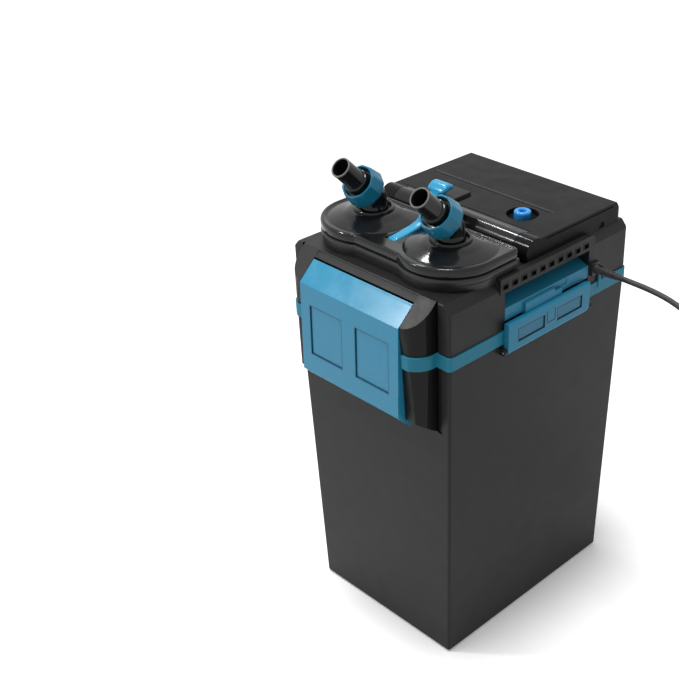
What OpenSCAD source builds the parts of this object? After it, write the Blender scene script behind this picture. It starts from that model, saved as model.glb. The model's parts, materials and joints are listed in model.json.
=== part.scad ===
// Canister filter: a tall tapered canister closed by a pump head.
// Millimetres, +Z up, origin at the centre of the base on the floor.
// The front, with the hose fittings and a wide clamp, faces -Y. The cord leaves on +X.

/* [Canister] */
// Width of the canister at its base
base_w = 174.5; // [168:0.5:181]
// Depth of the canister at its base
base_d = 224.4; // [216:0.2:232]
// Width of the canister and head at the seal
body_w = 190; // [184:1:196]
// Depth of the canister and head at the seal
body_d = 233; // [226:1:240]
// Height of the seal face above the floor
seal_z = 318; // [306:1:330]
// Wall of the canister
can_wall = 3.6; // [2.8:0.1:4.5]
// Floor of the canister
can_floor = 4; // [3:0.5:6]
// Radius of the upright corners
corner_r = 2.5; // [1.5:0.5:6]
// Radius of the upright corners inside the canister
inner_r = 7; // [6:0.5:9]

/* [Feet] */
// Radius of a rubber foot
foot_r = 10; // [7:0.5:13]
// Height of a rubber foot below the canister
foot_h = 2.5; // [1.5:0.5:5]
// Distance of a foot's centre from the canister's sides
foot_inset = 24; // [20:1:34]

/* [Seal band] */
// Height of the coloured seal band
band_h = 12.8; // [10:0.2:16]
// How far the band stands out of the walls
band_out = 1.3; // [0.6:0.1:2]

/* [Head] */
// Wall of the pump head
head_wall = 3.5; // [2.5:0.1:4.5]
// Height of the head's upright walls above the band
head_h = 38.2; // [36:0.2:42]
// Rise of the sloped shoulder round the deck
shoulder_up = 8; // [6:0.5:10]
// Inward run of the sloped shoulder
shoulder_in = 7; // [5:0.5:9]
// Height of the pedestal under the valve block
pedestal_h = 11.6; // [9:0.2:14]

/* [Columns] */
// Radius of the round columns beside the wide clamps
column_r = 19; // [17:0.5:20]
// Height of a column's foot below the seal
column_drop = 58; // [54:1:64]
// Width of the slit between a column and the head's wall
head_slit = 2.4; // [1.6:0.2:4]
// Width of the slit between a column and the canister's wall
can_slit = 4.6; // [3:0.2:6]
// Slope of the columns' and clamps' tops, degrees
slope_deg = 42.6; // [40:0.2:45]

/* [Wide clamps] */
// Width of the front and rear clamps
clamp_w = 121; // [112:1:126]
// Thickness of a clamp's plate
clamp_t = 3; // [2.4:0.1:3.6]
// Radius of a clamp's pin
clamp_pin_r = 2; // [1.5:0.1:2.5]

/* [Side clamps] */
// Radius of a side clamp's hinge barrel
side_barrel_r = 2.6; // [2.3:0.1:2.8]
// Radius of a side clamp's pin
side_pin_r = 1.2; // [0.9:0.1:1.5]
// Front end of the side recess
recess_y0 = -50.5; // [-54:0.5:-46]
// Rear end of the side recess
recess_y1 = 61.5; // [58:0.5:63]

/* [Motor cover] */
// Height of the motor cover above the deck
cover_h = 18.7; // [16:0.1:22]
// Width of the motor cover
cover_w = 178.2; // [172:0.2:180]
// Rear end of the motor cover
cover_y1 = 113; // [110:0.5:113.5]
// Radius of the rolled front edge
roll_r = 12; // [10:0.5:12.5]

/* [Valve block] */
// Spacing of the two hose fittings
port_gap = 92.8; // [88:0.4:94]
// Place of the hose fittings from front to back
port_y = -63.7; // [-66:0.1:-62]
// Radius of each lobe of the valve block
lobe_r = 46; // [43:0.5:46.5]
// Height of the valve block
block_h = 8; // [7:0.5:11]
// Height of the domes above the block
dome_h = 5; // [3:0.5:7]

/* [Hose fittings] */
// Outer radius of the hose end
hose_r = 9.2; // [8:0.1:10]
// Bore radius of the hose end
hose_bore_r = 7.6; // [6:0.1:8]
// Tilt of the hose end above level, degrees
hose_tilt = 45; // [40:1:50]
// Length of the hose end that stands out of the nut
hose_len = 25; // [20:1:32]
// Largest radius of the union nut
nut_r = 18.6; // [17:0.2:20]
// Length of the union nut
nut_len = 19; // [17:0.5:20]

/* [Shut-off lever] */
// Width of the lever
lever_w = 10; // [8:0.5:12]
// Width of the finger tab
tab_w = 20; // [16:1:24]
// Radius of the lever's pin
lever_pin_r = 2; // [1.5:0.1:2.4]

/* [Priming button] */
// Radius of the button
button_r = 7.7; // [6:0.1:9]
// Travel of the button
button_travel = 6; // [4:0.5:7]
// Radius of the well round the button
well_r = 14.5; // [12:0.5:16]

/* [Cord] */
// Diameter of the cord
cord_d = 5; // [4.8:0.1:5.2]
// Length of the strain relief
relief_len = 27.8; // [24:0.2:31]

/* [Hidden] */

$fn = 48;
eps = 0.01;
run_gap = 0.05;      // radial clearance of every running fit
body_gap = 0.3;      // clearance between a moving piece and its neighbour
seat_gap = 0.1;      // clearance between fixed pieces that sit in each other

// Heights from the floor up
head_z = seal_z + band_h;
shoulder_z = head_z + head_h;
deck_z = shoulder_z + shoulder_up;
pedestal_z = deck_z + pedestal_h;
foot_top = deck_z + pedestal_h * 0.55;       // top of the pedestal's drawn-in foot
block_z = pedestal_z + 1.4;
block_top = block_z + block_h;
dome_top = block_top + dome_h;
cover_top = deck_z + cover_h;

// Clamp and column places, measured outward from the front or rear wall
wall_y = body_d / 2;
col_in = clamp_w / 2 + body_gap + 0.2;
col_out = col_in + column_r;
col_cy = wall_y + 3.7;
slope_in = 0.65;                             // where the slope meets the deck, inside the wall
face_out = 23.5;                             // clamp face in front of the wall, at its top
face_y = wall_y + face_out;
function slope_z(y) = deck_z - (y - wall_y + slope_in) * tan(slope_deg);
face_z = slope_z(face_y);
foot_z = seal_z - column_drop;
lip_z = foot_z - 3;
chin_z = foot_z + 10.2;
clamp_pin_y = wall_y + 5;
clamp_pin_z = slope_z(clamp_pin_y) - 6;
clamp_ear_r = clamp_pin_r + 2.5;

// Side clamp places, measured along +X
wall_x = body_w / 2;
side_x = wall_x + band_out + side_barrel_r + 0.1;
side_z = seal_z - 6;
side_face_x = side_x + side_barrel_r;
side_back_x = wall_x + band_out + body_gap;
side_y0 = recess_y0 - 1.7;
side_y1 = recess_y1 - 4.5;
side_top_z = side_z + 26;
recess_x = wall_x - 19;
recess_top = shoulder_z - 3.2;
recess_low = head_z + 2.2;
shelf_in = 11.9;
shelf_z = head_z + 19.7;
brow_x = wall_x + 1;
brow_low = recess_top + 0.2;
brow_top = deck_z + 2.5;

// Hose fitting axis: a vertical stem, then a tilted run
port_x = port_gap / 2;
lobe_y = port_y - 1.3;                       // centre of the lobes, a little before the fittings
waist_y = port_y - 42.5;                     // front edge of the block between its lobes
block_rear = port_y + 34.5;
bend_z = dome_top + 12.1;
nut_back = 6.5;                              // distance from the bend to the nut's rear face
nut_front = nut_back + nut_len;
mouth_at = nut_front + hose_len;
stem_r = 12;
collar_r = 18;
collar_h = 3.2;
thread_r = 13;
spigot_r = 14;

// Lever places
lever_y = -84;
lever_z = block_z + block_h / 2;
catch_z = block_top + 14;
catch_t = 5;

// Cover and button places
roll_y = -5.2;
roll_z = cover_top - 10.2;
cover_y0 = roll_y + 9.3;
grip_half = 72.4;
button_x = 44.5;
button_y = 28.5;
well_floor = cover_top - 4.7;
button_top = cover_top + 3.3;
button_low = well_floor - 6 - button_travel;

// Inside of the canister
rim_w = body_w - 2 * (can_wall + 1.4);
rim_d = body_d - 2 * (can_wall + 1.4);
can_z = foot_h;
room_w = min(base_w - 2 * can_wall, rim_w);  // narrowest room inside the canister
room_d = min(base_d - 2 * can_wall, rim_d);
riser_r = hose_bore_r + 2.4;
tray_w = room_w - 8;
tray_y0 = port_y + riser_r + 4.7;
tray_y1 = room_d / 2 - 5.6;
tray_d = tray_y1 - tray_y0;
tray_y = (tray_y0 + tray_y1) / 2;
tray_h = 84;
tray_z = can_z + can_floor + 6;
tray_t = 2.2;
ring_r = 9;
ring_h = 24;
coarse_h = 60;
fine_h = 45;
floor_z = head_z - 4;                        // underside of the head's floor

// Pump
pump_y = 45;
rotor_r = 9;
rotor_z = floor_z;

// Cord outlet and route. The route is a list of places chosen by hand.
cord_y = 69.8;
cord_z = 345.2;
relief_x = brow_x + relief_len;
cord_r = cord_d / 2;
route = [[124, 69.8, 345.2], [136, 69.8, 345.2], [150, 69.8, 345], [165, 69.8, 344],
    [180, 69.8, 341.5], [195, 69.8, 336.5], [209, 69.8, 328], [220, 69.8, 315],
    [228, 69.8, 298], [233, 69.8, 278], [235, 69.8, 255], [236, 69.8, 225], [236, 69.8, 190],
    [236, 69.8, 155], [236, 69.8, 120], [236, 69.8, 90], [236, 69.8, 62], [236, 70.5, 44],
    [236, 75, 27], [236, 84, 13], [236, 97, 5], [236, 112, 2.5], [236, 130, 2.5],
    [236, 152, 2.5], [236, 177, 2.5]];
coil_x = 198.3;
coil_y = 182;
coil_r = 37.7;
coil_turns = 5;
coil_pitch = 5.6;
coil_steps = 24;
plug_y = 212;
plug_z = cord_r + coil_pitch;

// ---------- helpers ----------

module rounded(w, d, r) {
    translate([-w / 2 + r, -d / 2]) square([w - 2 * r, d]);
    translate([-w / 2, -d / 2 + r]) square([w, d - 2 * r]);
    for (x = [-1, 1], y = [-1, 1])
        translate([x * (w / 2 - r), y * (d / 2 - r)]) circle(r);
}

// A 2D outline of (y, z) points, extruded along X from x0 to x1
module along_x(x0, x1) { translate([x0, 0, 0]) rotate([90, 0, 90]) linear_extrude(x1 - x0) children(); }

// A 2D outline of (x, z) points, extruded along Y from y0 to y1
module along_y(y0, y1) { translate([0, y1, 0]) rotate([90, 0, 0]) linear_extrude(y1 - y0) children(); }

module box(a, b) { translate(a) cube([b[0] - a[0], b[1] - a[1], b[2] - a[2]]); }

module rod_x(x0, x1, y, z, r) { translate([x0, y, z]) rotate([0, 90, 0]) cylinder(r = r, h = x1 - x0); }

module rod_y(y0, y1, x, z, r) { translate([x, y0, z]) rotate([-90, 0, 0]) cylinder(r = r, h = y1 - y0); }

module rod_z(z0, z1, x, y, r) { translate([x, y, z0]) cylinder(r = r, h = z1 - z0); }

// Four copies of what stands in front and to the right
module four() { for (m = [0, 1], n = [0, 1]) mirror([m, 0, 0]) mirror([0, n, 0]) children(); }

// Points and ring frames of a swept tube
function unit(v) = v / norm(v);
function spline(p, t) = let (n = len(p), i = min(floor(t), n - 2), u = t - i,
    a = p[max(i - 1, 0)], b = p[i], c = p[i + 1], d = p[min(i + 2, n - 1)])
    0.5 * (2 * b + (c - a) * u + (2 * a - 5 * b + 4 * c - d) * u * u
        + (3 * b - a - 3 * c + d) * u * u * u);
function tangents(p) = [for (i = [0:len(p) - 1])
    unit(p[min(i + 1, len(p) - 1)] - p[max(i - 1, 0)])];
function carry(ts, n, i = 1, out = []) = i >= len(ts) ? out :
    let (m = unit(n - (n * ts[i]) * ts[i])) carry(ts, m, i + 1, concat(out, [m]));
module sweep(p, first, r, sides) {
    ts = tangents(p);
    n0 = unit(first - (first * ts[0]) * ts[0]);
    ns = concat([n0], carry(ts, n0));
    pts = [for (i = [0:len(p) - 1], k = [0:sides - 1])
        let (a = 360 * k / sides) p[i] + r * (cos(a) * ns[i] + sin(a) * cross(ts[i], ns[i]))];
    last = len(p) - 1;
    walls = [for (i = [0:last - 1], k = [0:sides - 1])
        let (a = i * sides + k, b = i * sides + (k + 1) % sides, c = a + sides, d = b + sides)
        each [[a, c, b], [b, c, d]]];
    cap0 = [for (k = [1:sides - 2]) [0, k, k + 1]];
    cap1 = [for (k = [1:sides - 2]) [last * sides, last * sides + k + 1, last * sides + k]];
    polyhedron(points = pts, faces = concat(walls, cap0, cap1), convexity = 6);
}

// ---------- canister ----------

// Outline of the wall with its four columns, grown by d
module shell_plan(d) {
    rounded(body_w + 2 * d, body_d + 2 * d, corner_r + d);
    four() column_plan(d);
}

module column_plan(d) {
    intersection() {
        translate([col_in, -col_cy]) circle(column_r + d);
        translate([col_in, -col_cy - column_r - d]) square([column_r + d, column_r + d]);
    }
    translate([col_in, -col_cy]) square([column_r + d, 5.5]);
}

module canister() {
    top = seal_z;
    h = top - can_z;
    inner_z = can_z + can_floor;
    color("#3b3d3f") {
        difference() {
            union() {
                translate([0, 0, can_z]) linear_extrude(h, scale = [body_w / base_w, body_d / base_d])
                    rounded(base_w, base_d, corner_r);
                intersection() {
                    four() translate([0, 0, foot_z - 7]) linear_extrude(column_drop + 7) column_plan(0);
                    along_x(-body_w, body_w) polygon([[-wall_y + 1, foot_z - 7],
                        [-wall_y - 18.5, foot_z + 6], [-wall_y - 20.6, top], [wall_y + 20.6, top],
                        [wall_y + 18.5, foot_z + 6], [wall_y - 1, foot_z - 7]]);
                }
                four() box([-eps, -wall_y - 10, foot_z + 2], [col_in + 1, -wall_y + 2, foot_z + 10]);
            }
            translate([0, 0, inner_z])
                linear_extrude(top - inner_z + eps, scale = [rim_w / (base_w - 2 * can_wall),
                    rim_d / (base_d - 2 * can_wall)])
                rounded(base_w - 2 * can_wall, base_d - 2 * can_wall, inner_r);
            four() box([col_out, -wall_y - 8, foot_z - 8], [col_out + can_slit, -wall_y + 2.4, top + 1]);
        }
        for (m = [0, 1]) mirror([m, 0, 0]) side_lugs();
    }
}

// Two lugs on the canister's side that carry the side clamp's pin
module side_lugs() {
    for (y = [side_y0 - 4.3, side_y1 + body_gap]) difference() {
        union() {
            rod_y(y, y + 4, side_x, side_z, side_barrel_r);
            box([wall_x - 2.5, y, side_z - side_barrel_r], [side_x, y + 4, side_z + side_barrel_r]);
        }
        rod_y(y - 1, y + 5, side_x, side_z, side_pin_r);
    }
}

module rubber_feet() {
    color("#1b1b1c") four() translate([base_w / 2 - foot_inset, -base_d / 2 + foot_inset, 0]) {
        rotate_extrude() polygon([[0, 0], [foot_r - 0.8, 0], [foot_r, 0.8], [foot_r, foot_h], [0, foot_h]]);
    }
}

module seal_band() {
    color("#4f93b5") difference() {
        union() {
            intersection() {
                translate([0, 0, seal_z]) linear_extrude(band_h) shell_plan(band_out);
                box([-body_w, -wall_y - 22.6, 0], [body_w, wall_y + 22.6, 999]);
            }
            box([wall_x - 1, cord_y + 5, seal_z + band_h / 2], [wall_x + 2.4, cord_y + 8.5, head_z + 9]);
        }
        translate([0, 0, seal_z - 1]) linear_extrude(band_h + 2) rounded(rim_w, rim_d, inner_r);
        box([wall_x - 2, cord_y + 4, head_z], [wall_x + seat_gap, cord_y + 9, head_z + 10]);
    }
}

module o_ring() {
    z = seal_z - 8;
    color("#151515") translate([0, 0, z]) linear_extrude(4.4) difference() {
        rounded(rim_w - 1.6, rim_d - 1.6, inner_r - 1);
        rounded(rim_w - 8.2, rim_d - 8.2, inner_r - 4);
    }
}

// ---------- pump head ----------

module deck_block() {
    intersection() {
        translate([0, 0, head_z]) linear_extrude(deck_z - head_z) shell_plan(0);
        along_y(-body_d, body_d) polygon([[-wall_x, head_z], [wall_x, head_z], [wall_x, shoulder_z],
            [wall_x - shoulder_in, deck_z], [-wall_x + shoulder_in, deck_z], [-wall_x, shoulder_z]]);
        along_x(-body_w, body_w) polygon([[-wall_y - 21, head_z], [-face_y, face_z],
            [-wall_y + slope_in, deck_z], [wall_y - slope_in, deck_z], [face_y, face_z],
            [wall_y + 21, head_z]]);
    }
}

// Outline of the valve block: two lobes, a waist and a straight rear, drawn in by d
module block_plan(d) {
    side = port_x + lobe_r - 0.3 - d;
    for (x = [-port_x, port_x]) translate([x, lobe_y]) circle(lobe_r - d, $fn = 96);
    translate([-port_x + 10, waist_y + d]) square([2 * port_x - 20, block_rear - waist_y - 2 * d]);
    translate([-side, lobe_y]) square([2 * side, block_rear - d - lobe_y]);
}

module side_recess() { box([recess_x, recess_y0, recess_low], [wall_x + 9, recess_y1, recess_top]); }

// The shelf inside a side recess that the side clamp's deck hooks over
module side_shelf() {
    along_y(recess_y0 - 1, recess_y1 + 1) polygon([[recess_x - 1, head_z], [wall_x - 3.2, head_z],
        [wall_x - 3.2, shelf_z - 3], [wall_x - shelf_in + 1.9, shelf_z + 0.6],
        [wall_x - shelf_in, shelf_z], [wall_x - shelf_in - 0.6, shelf_z - 2.5],
        [recess_x - 1, shelf_z - 2.5]]);
}

module vents() {
    first = recess_y0 - 0.2;
    pitch = (recess_y1 - recess_y0 - 5.8) / 9;
    for (i = [0:9]) translate([0, first + i * pitch, shoulder_z + 2.6])
        box([brow_x - 3, -3, -2.2], [brow_x + 1, 3, 2.2]);
}

// Strip over a side recess, with a rounded rear end
module brow() {
    end = recess_y1 + 6.5;
    r = 6;
    intersection() {
        along_y(recess_y0 - 6.5, end) polygon([[wall_x - 12, brow_low], [brow_x, brow_low],
            [brow_x, brow_top], [cover_w / 2 + 0.4, brow_top], [cover_w / 2 + 0.4, deck_z - 1],
            [wall_x - 12, deck_z - 6]]);
        union() {
            box([0, -body_d, 0], [body_w, end - r, 999]);
            box([0, 0, 0], [body_w, end, brow_top - r]);
            rod_x(0, body_w, end - r, brow_top - r, r);
        }
    }
}

module pump_head() {
    in_w = body_w - 2 * head_wall;
    in_d = body_d - 2 * head_wall - 4;
    roof = deck_z - 4;
    color("#3b3d3f") difference() {
        union() {
            deck_block();
            for (m = [0, 1]) mirror([m, 0, 0]) brow();
            // pedestal: a foot that runs into the shoulder, and a wider step on it
            translate([0, 0, shoulder_z + 1]) linear_extrude(foot_top - shoulder_z - 1) block_plan(2.4);
            translate([0, 0, foot_top - 1]) linear_extrude(pedestal_z - foot_top + 1) block_plan(0.4);
            // roof over each wide clamp
            for (n = [0, 1]) mirror([0, n, 0]) along_x(-col_in - 1, col_in + 1) polygon([
                [-wall_y + 1, slope_z(wall_y)], [-wall_y - 4.9, slope_z(wall_y + 4.9)],
                [-wall_y - 4.9, slope_z(wall_y + 4.9) - 0.7], [-wall_y + 1, slope_z(wall_y + 4.9) - 0.7]]);
            translate([0, 0, seal_z - 12]) linear_extrude(head_z - seal_z + 12 + eps)
                rounded(rim_w - 1.4, rim_d - 1.4, inner_r - 1);
        }
        // hollow of the skirt and the two bays of the head
        translate([0, 0, seal_z - 13]) linear_extrude(head_z - seal_z + 9)
            rounded(rim_w - 14, rim_d - 14, 4);
        translate([0, 0, seal_z - 8.3]) linear_extrude(5) difference() {
            rounded(rim_w + 2, rim_d + 2, inner_r - 1);
            rounded(rim_w - 8.4, rim_d - 8.4, inner_r - 4);
        }
        difference() {
            union() {
                translate([0, 0, head_z]) linear_extrude(roof - head_z) intersection() {
                    rounded(in_w, in_d, inner_r - 1);
                    translate([-body_w, roll_y + 2]) square([2 * body_w, body_d]);
                }
                translate([0, 0, head_z]) linear_extrude(roof - head_z) intersection() {
                    rounded(in_w, in_d, inner_r - 1);
                    translate([-body_w, -body_d]) square([2 * body_w, body_d + roll_y - 2]);
                }
            }
            for (m = [0, 1]) mirror([m, 0, 0])
                box([recess_x - head_wall, recess_y0 - head_wall, head_z - 1],
                    [body_w, recess_y1 + head_wall, deck_z]);
            for (x = [-port_x, port_x]) rod_z(head_z - 1, deck_z, x, port_y, spigot_r + head_wall);
            rod_z(head_z - 1, deck_z, 0, pump_y, rotor_r + 3.5);
        }
        // sockets of the two valve spigots
        for (x = [-port_x, port_x]) rod_z(head_z + 2, pedestal_z + 2, x, port_y, spigot_r + body_gap);
        for (x = [-port_x, port_x]) rod_z(head_z - 9, head_z + 3, x, port_y, hose_bore_r);
        // rotor can
        rod_z(head_z - 9, deck_z - 6, 0, pump_y, rotor_r + 1);
        for (m = [0, 1]) mirror([m, 0, 0]) difference() { side_recess(); side_shelf(); }
        for (m = [0, 1]) mirror([m, 0, 0]) vents();
        // motor bay opens into the cover
        box([-60, cover_y0 + 12, roof - 1], [60, cover_y1 - 20, deck_z + 1]);
        // bores of the clamp pins, slits behind the columns
        for (n = [0, 1]) mirror([0, n, 0]) for (m = [0, 1]) mirror([m, 0, 0])
            rod_x(col_in - 1, col_in + 9, -clamp_pin_y, clamp_pin_z, clamp_pin_r);
        four() box([col_out, -wall_y - 8, head_z - 1], [col_out + head_slit, -wall_y + 2, deck_z + 1]);
    }
}

// ---------- motor cover ----------

module motor_cover() {
    t = 3;
    y2 = cover_y1 - 7;
    color("#3a3c3e") difference() {
        union() {
            intersection() {
                translate([0, (cover_y1 + cover_y0) / 2, deck_z]) linear_extrude(cover_h + 1)
                    rounded(cover_w, cover_y1 - cover_y0, 5);
                along_x(-body_w, body_w) polygon([[cover_y0, deck_z], [cover_y1, deck_z],
                    [cover_y1, cover_top - 9.7], [y2, cover_top], [cover_y0, cover_top]]);
            }
            box([-cover_w / 2, cover_y0, deck_z], [cover_w / 2, cover_y0 + 8, cover_top]);
            intersection() {
                rod_x(-cover_w / 2, cover_w / 2, roll_y, roll_z, roll_r);
                box([-body_w, -body_d, deck_z], [body_w, cover_y0 + 3, deck_z + 40]);
            }
            box([-cover_w / 2, roll_y, deck_z], [cover_w / 2, cover_y0 + 2, roll_z + roll_r - 1.8]);
        }
        // room for the grip bar
        box([-grip_half - body_gap, -body_d, deck_z - 1], [grip_half + body_gap, cover_y0, deck_z + 40]);
        // hollow
        difference() {
            box([-cover_w / 2 + t, cover_y0 + t, deck_z - 1],
                [cover_w / 2 - t, cover_y1 - 12, cover_top - t]);
            rod_z(deck_z - 2, cover_top, button_x, button_y, well_r + t);
        }
        rod_z(well_floor, cover_top + 5, button_x, button_y, well_r);
        rod_z(button_low, cover_top, button_x, button_y, button_r + run_gap);
        // seam round the top plate, latch slot, relief of the top panel
        for (m = [0, 1]) mirror([m, 0, 0]) {
            box([cover_w / 2 - 0.9, cover_y0 + 4, cover_top - 3.2], [body_w, cover_y1 - 12, cover_top - 1.9]);
            box([cover_w / 2 - 1.5, cover_y1 - 31.5, deck_z + 0.8], [body_w, cover_y1 - 24.5, deck_z + 5.6]);
        }
        panel_grooves();
    }
}

// Shallow grooves that outline the panel on top of the cover
module panel_grooves() {
    x0 = -82;
    x1 = 61;
    y0 = cover_y0 + 0.8;
    y1 = 46.5;
    g = 0.8;
    z = cover_top - 0.5;
    box([x0, y1, z], [x1, y1 + g, cover_top + 1]);
    box([x0, y0, z], [x1 + 14, y0 + g, cover_top + 1]);
}

module grip_bar() {
    color("#2c2e30") intersection() {
        union() {
            rod_x(-grip_half, grip_half, roll_y, roll_z, roll_r);
            box([-grip_half, roll_y, deck_z], [grip_half, cover_y0 - seat_gap, roll_z + roll_r - 1.8]);
        }
        box([-body_w, -body_d, deck_z + seat_gap], [body_w, cover_y0 - seat_gap, deck_z + 60]);
    }
}

// ---------- valve block ----------

module lobe_dome(x) {
    rise_r = lobe_r - 5;
    ball = (rise_r * rise_r + dome_h * dome_h) / (2 * dome_h);
    intersection() {
        translate([x, port_y - 1, block_top + dome_h - ball]) sphere(ball, $fn = 96);
        rod_z(block_top - 1, block_top + dome_h + 1, x, port_y - 1, rise_r);
        box([x < 0 ? -body_w : 1, -body_d, 0], [x < 0 ? -1 : body_w, port_y + 32, 999]);
    }
}

module valve_block() {
    slot = lever_w / 2 + 1;
    color("#222426") difference() {
        union() {
            translate([0, 0, block_z]) linear_extrude(block_h - 1.4) block_plan(0);
            translate([0, 0, block_top - 1.5]) linear_extrude(0.8) block_plan(0.5);
            translate([0, 0, block_top - 0.8]) linear_extrude(0.8) block_plan(1.5);
            translate([0, 0, block_z - 1.4]) linear_extrude(1.5) block_plan(3.5);
            for (x = [-port_x, port_x]) lobe_dome(x);
            for (x = [-port_x, port_x]) rod_z(block_top - 1, dome_top - 0.4, x, port_y, collar_r - 0.6);
        }
        box([-slot, lever_y - 6, block_z - 3], [slot, port_y + 28, block_top + 20]);
        rod_x(-slot - 5, slot + 5, lever_y, lever_z, lever_pin_r);
        for (x = [-port_x, port_x]) {
            rod_z(dome_top - 11, dome_top + 5, x, port_y, stem_r + run_gap);
            rod_z(block_z - 5, dome_top, x, port_y, hose_bore_r);
        }
    }
}

module valve_spigots() {
    color("#26282a") for (x = [-port_x, port_x]) difference() {
        rod_z(pedestal_z - 27, block_z - 1.4, x, port_y, spigot_r);
        rod_z(pedestal_z - 30, block_z + 1, x, port_y, hose_bore_r);
        for (z = [pedestal_z - 22, pedestal_z - 14]) translate([x, port_y, z])
            rotate_extrude() translate([spigot_r - 1.5, 0]) square([4, 2.6]);
    }
}

module swivel_collars() {
    color("#202224") for (x = [-port_x, port_x]) translate([x, port_y, dome_top - 0.4])
        rotate_extrude() polygon([[stem_r + 3.2, 0], [collar_r, 0], [collar_r, collar_h - 1],
            [collar_r - 1, collar_h], [collar_r - 2.2, collar_h], [stem_r + 3.2, collar_h - 1]]);
}

// Bracket behind the fittings that holds the lever's tab down
module lever_catch() {
    y1 = port_y + 33;
    color("#222426") {
        for (m = [0, 1]) mirror([m, 0, 0]) along_x(lever_w / 2 + 2, 13) polygon([
            [y1 - 8, block_top], [y1, block_top], [y1 + 5, catch_z], [y1 + 5, catch_z + catch_t],
            [y1 + 3, catch_z + catch_t], [y1 - 3, catch_z]]);
        box([-13, y1 + 3, catch_z], [13, y1 + 27, catch_z + catch_t]);
    }
}

module lever_pin() {
    r = lever_pin_r;
    color("silver") rod_x(-lever_w / 2 - 5.5, lever_w / 2 + 5.5, lever_y, lever_z, r);
}

module shutoff_lever() {
    w = lever_w / 2;
    z0 = lever_z;
    color("#2e9ad0") difference() {
        union() {
            along_x(-w, w) polygon([[lever_y - 3.4, z0 - 1], [lever_y + 3, z0 - 3.4],
                [lever_y + 30, z0 + 1.5], [lever_y + 42, z0 + 9], [lever_y + 49, z0 + 22],
                [lever_y + 52, z0 + 27.5], [lever_y + 47, z0 + 30], [lever_y + 44, z0 + 25],
                [lever_y + 37, z0 + 13], [lever_y + 27, z0 + 6.5], [lever_y + 1, z0 + 3.4]]);
            rod_x(-w, w, lever_y, lever_z, 3.4);
            along_x(-tab_w / 2, tab_w / 2) polygon([[lever_y + 46, z0 + 25], [lever_y + 52, z0 + 24.2],
                [lever_y + 60, z0 + 26.5], [lever_y + 62.5, z0 + 31.5], [lever_y + 60, z0 + 36.5],
                [lever_y + 54, z0 + 38], [lever_y + 49, z0 + 34.5], [lever_y + 46.5, z0 + 30]]);
        }
        rod_x(-w - 1, w + 1, lever_y, lever_z, lever_pin_r + run_gap);
    }
}

// ---------- hose fittings ----------

// Turns a shape drawn along +Z into the tilted hose direction, starting at the bend
module tilted(x) { translate([x, port_y, bend_z]) rotate([90 - hose_tilt, 0, 0]) children(); }

module elbow(x) {
    color("#1d1f21") difference() {
        union() {
            rod_z(dome_top - 10.9, bend_z, x, port_y, stem_r);
            translate([x, port_y, bend_z]) sphere(stem_r + 0.5);
            tilted(x) cylinder(r = stem_r, h = nut_back + 1);
            tilted(x) translate([0, 0, nut_back]) cylinder(r = thread_r, h = 11);
        }
        tilted(x) cylinder(r = hose_bore_r, h = 60);
        translate([x, port_y, bend_z]) sphere(hose_bore_r + 0.4);
        rod_z(dome_top - 12, bend_z, x, port_y, hose_bore_r);
    }
}

module hose_end(x) {
    seat = nut_back + 11 + seat_gap;
    color("#232527") tilted(x) difference() {
        union() {
            translate([0, 0, seat]) cylinder(r = thread_r - 0.5, h = 3.5);
            translate([0, 0, seat]) cylinder(r = hose_r + 1.9, h = nut_front - seat + 2);
            translate([0, 0, seat]) cylinder(r = hose_r, h = mouth_at - seat);
        }
        translate([0, 0, seat - 1]) cylinder(r = hose_bore_r, h = 99);
    }
}

module union_nut(x) {
    sides = 10;
    lip = nut_back + 11 + seat_gap + 3.5 + body_gap;
    color("#2b86ad") tilted(x) difference() {
        union() {
            translate([0, 0, nut_back + 1])
                cylinder(r1 = nut_r - 4.2, r2 = nut_r, h = nut_len * 0.55, $fn = sides);
            translate([0, 0, nut_back + 1 + nut_len * 0.55])
                cylinder(r1 = nut_r, r2 = nut_r - 1.8, h = nut_len * 0.45 - 1, $fn = sides);
        }
        translate([0, 0, nut_back]) cylinder(r = thread_r + run_gap, h = lip - nut_back);
        translate([0, 0, nut_back]) cylinder(r = hose_r + 1.9 + run_gap, h = 40);
        translate([0, 0, nut_front - 1.6]) cylinder(r = thread_r + 0.6, h = 20);
    }
}

// ---------- priming button ----------

module priming_button() {
    color("#3ba0e0") difference() {
        translate([button_x, button_y, 0]) rotate_extrude() polygon([[0, well_floor - 5],
            [button_r, well_floor - 5], [button_r, button_top - 1.2], [button_r - 1.2, button_top],
            [0, button_top]]);
        rod_z(button_top - 2.5, button_top + 1, button_x, button_y, 2.3);
    }
}

module button_spring() {
    color("silver") difference() {
        rod_z(button_low + seat_gap, well_floor - 5 - seat_gap, button_x, button_y, button_r - 1.2);
        rod_z(button_low - 1, well_floor, button_x, button_y, button_r - 2.6);
    }
}

// ---------- wide clamps ----------

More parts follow.
